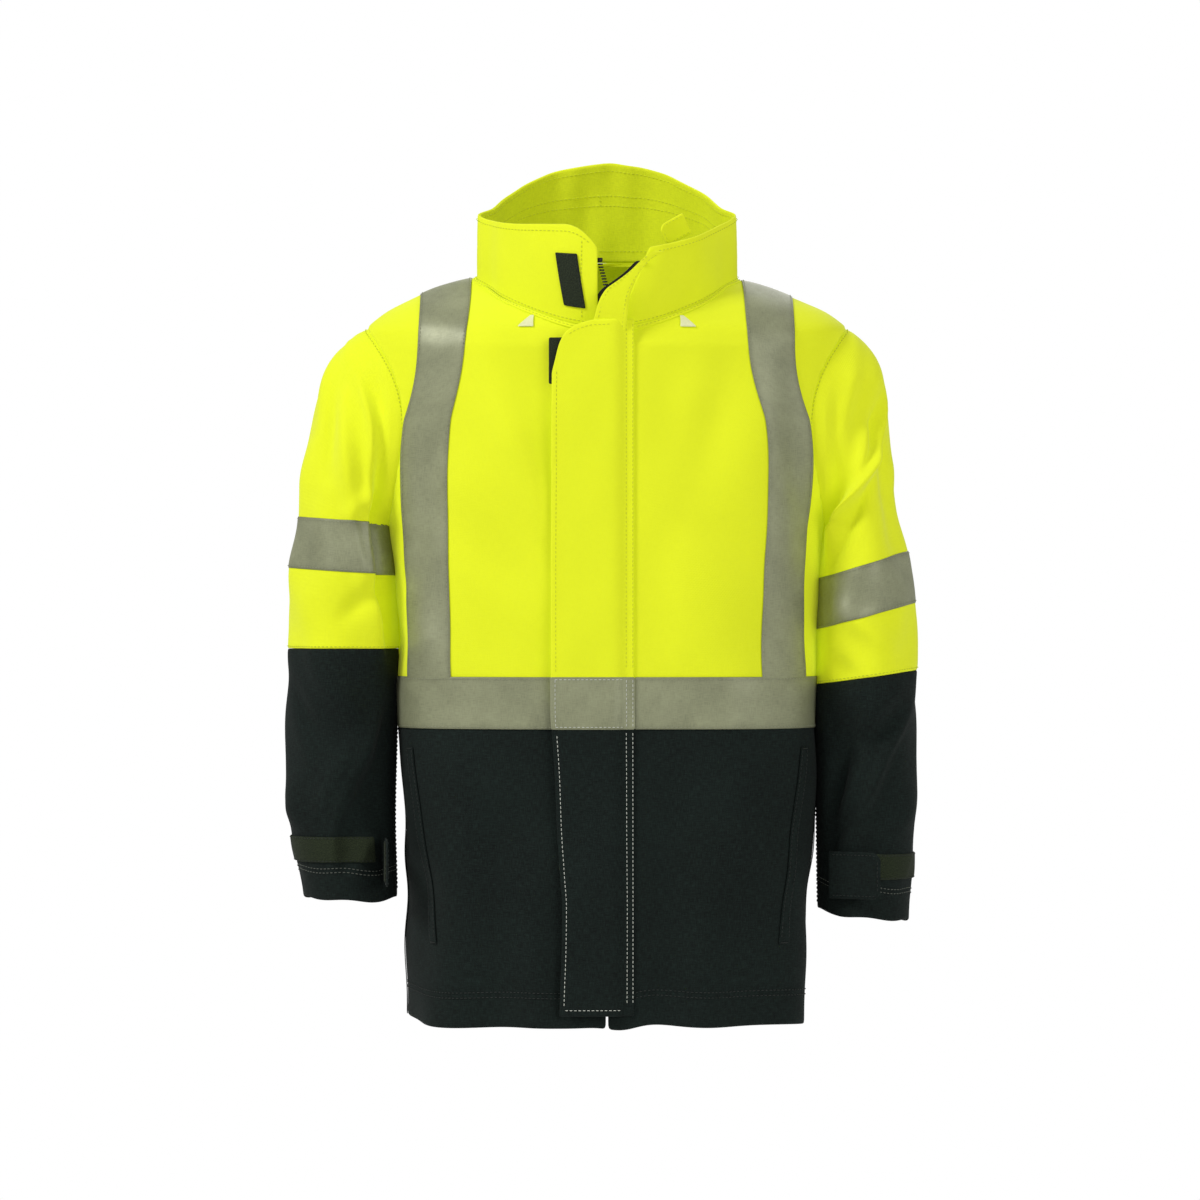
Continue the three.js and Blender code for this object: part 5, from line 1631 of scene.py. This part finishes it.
@dataclass(frozen=True)
class Pockets:
    """The slanted side pockets: a welt with two rows of stitches, and the bag behind it."""

    top: float = -467.0
    bottom: float = -657.0
    bearing_top: float = 73.0       # the slanted mouth's bearings, in degrees
    bearing_bottom: float = 64.0
    welt_span: float = 13 / 206     # the welt's width round the body, in radians

    def build(self) -> None:
        """Makes both pockets."""
        for side in Side:
            self._pocket(side)

    def _pocket(self, side: Side) -> None:
        """Makes one side's pocket."""
        word, top, bottom = side.word, self.top, self.bottom

        def welt(u: Array, v: Array) -> Array:
            """Places a point of the welt."""
            b = mix(self.bearing_top, self.bearing_bottom, v) * RAD + self.welt_span * (u - 0.5)
            return FORM.at_bearing(side.value * b, mix(top, bottom, v))

        def bag(u: Array, v: Array) -> Array:
            """Places a point of the bag behind the welt."""
            return FORM.at_bearing(side.value * mix(40, 74, u) * RAD, mix(top + 5, bottom - 35, v))

        net = shell(welt, 8, 60, 0.3, 1.9, relief=FORM.relief)
        piece = make(f"pocket_welt_{word}_cloth", net, BLACK_TWILL, 1, replaces=[f"pocket_welt_{word}"])
        net = shell(bag, 20, 20, -5.2, -4.2, relief=FORM.relief)
        piece = make(f"pocket_bag_{word}_cloth", net, BLACK_TWILL, 1, replaces=[f"pocket_bag_{word}"])
        rows = [seam(welt, (u, 0.01), (u, 0.99), 1.9, FORM.relief, radius=FINE_THREAD) for u in (0.15, 0.85)]
        rows += [seam(welt, (0.1, v), (0.9, v), 2.0, FORM.relief, pitch=1.4, length=1.5)
                 for v in (0.008, 0.992)]
        make(f"pocket_stitches_{word}", Net.joined(rows), BLACK_THREAD, 0)


@dataclass(frozen=True)
class Studio:
    """A pale floor, soft light all round and a level camera; lengths in metres, powers in watts."""

    floor_z: float = -1.6
    floor_size: float = 11.0
    middle_z: float = -0.32         # the height that the lights look at
    distance: float = 5.0           # from the camera to the coat's front
    seen: float = 1.152             # the width in view there
    front_y: float = -0.12
    camera_x: float = -0.0067
    camera_z: float = -0.3245
    lights: tuple[tuple[str, tuple[float, float, float], float, float], ...] = (
        ("key", (-2.3, -1.5, 2.0), 0.9, 66), ("fill", (2.4, -2.6, 0.6), 1.8, 30),
        ("back", (0.6, 2.8, 1.6), 2.2, 30))
    room_light: float = 0.40        # how brightly the room lights the coat
    room_seen: float = 1.0          # how bright its walls look

    def build(self) -> None:
        """Sets the stage."""
        self._floor()
        self._lights()
        self._camera()

    def _floor(self) -> None:
        """Lays the floor well below the hanging coat."""
        bpy.ops.mesh.primitive_plane_add(size=self.floor_size, location=(0, 0, self.floor_z))
        floor = bpy.context.object
        floor.name = "floor"
        floor.data.uv_layers[0].name = "Cloth"
        floor.data.materials.append(FLOOR_PAINT.build())

    def _light(self, name: str, place: tuple[float, float, float], size: float, power: float) -> None:
        """Hangs one soft square light that looks at the coat's middle."""
        lamp = bpy.data.lights.new(name, "AREA")
        lamp.energy, lamp.size = power, size
        light = bpy.data.objects.new(name, lamp)
        bpy.context.scene.collection.objects.link(light)
        light.location = place
        away = light.location - mathutils.Vector((0, 0, self.middle_z))
        light.rotation_euler = away.to_track_quat("Z", "Y").to_euler()

    def _lights(self) -> None:
        """Hangs a key at the upper left, a fill at the right and one behind, in a white room."""
        for name, place, size, power in self.lights:
            self._light(name, place, size, power)
        world = bpy.data.worlds.new("white_room")
        bpy.context.scene.world = world
        world.use_nodes = True
        tree = world.node_tree
        tree.nodes.clear()
        white = (1.0, 1.0, 1.0, 1.0)
        dim = add(tree, "Background", Color=white, Strength=self.room_light)
        bright = add(tree, "Background", Color=white, Strength=self.room_seen)
        seen = add(tree, "LightPath").outputs["Is Camera Ray"]
        room = add(tree, "MixShader", Fac=seen, i1=dim.outputs[0], i2=bright.outputs[0])
        add(tree, "OutputWorld", Surface=room.outputs[0])
        bpy.context.scene.view_settings.view_transform = "Standard"      # keeps fluorescent dye saturated

    def _camera(self) -> None:
        """Sets a long lens level with the coat's middle."""
        lens = bpy.data.cameras.new("camera")
        lens.sensor_width = 36.0
        lens.lens = lens.sensor_width * self.distance / self.seen
        camera = bpy.data.objects.new("camera", lens)
        bpy.context.scene.collection.objects.link(camera)
        camera.location = (self.camera_x, self.front_y - self.distance, self.camera_z)
        camera.rotation_euler = (math.pi / 2, 0.0, 0.0)
        bpy.context.scene.camera = camera


def main() -> None:
    """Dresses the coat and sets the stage."""
    logging.basicConfig(level=logging.INFO, format="%(name)s: %(message)s")
    sections = (Torso(), BodyTapes(), Sleeves(), Collar(), FrontClosing(), Pockets(), Studio())
    for section in sections:
        before = set(bpy.data.objects)
        section.build()
        for piece in sorted(set(bpy.data.objects) - before, key=lambda o: o.name):
            LOG.info("%s: %s", type(section).__name__, piece.name)


if __name__ == "__main__":
    main()
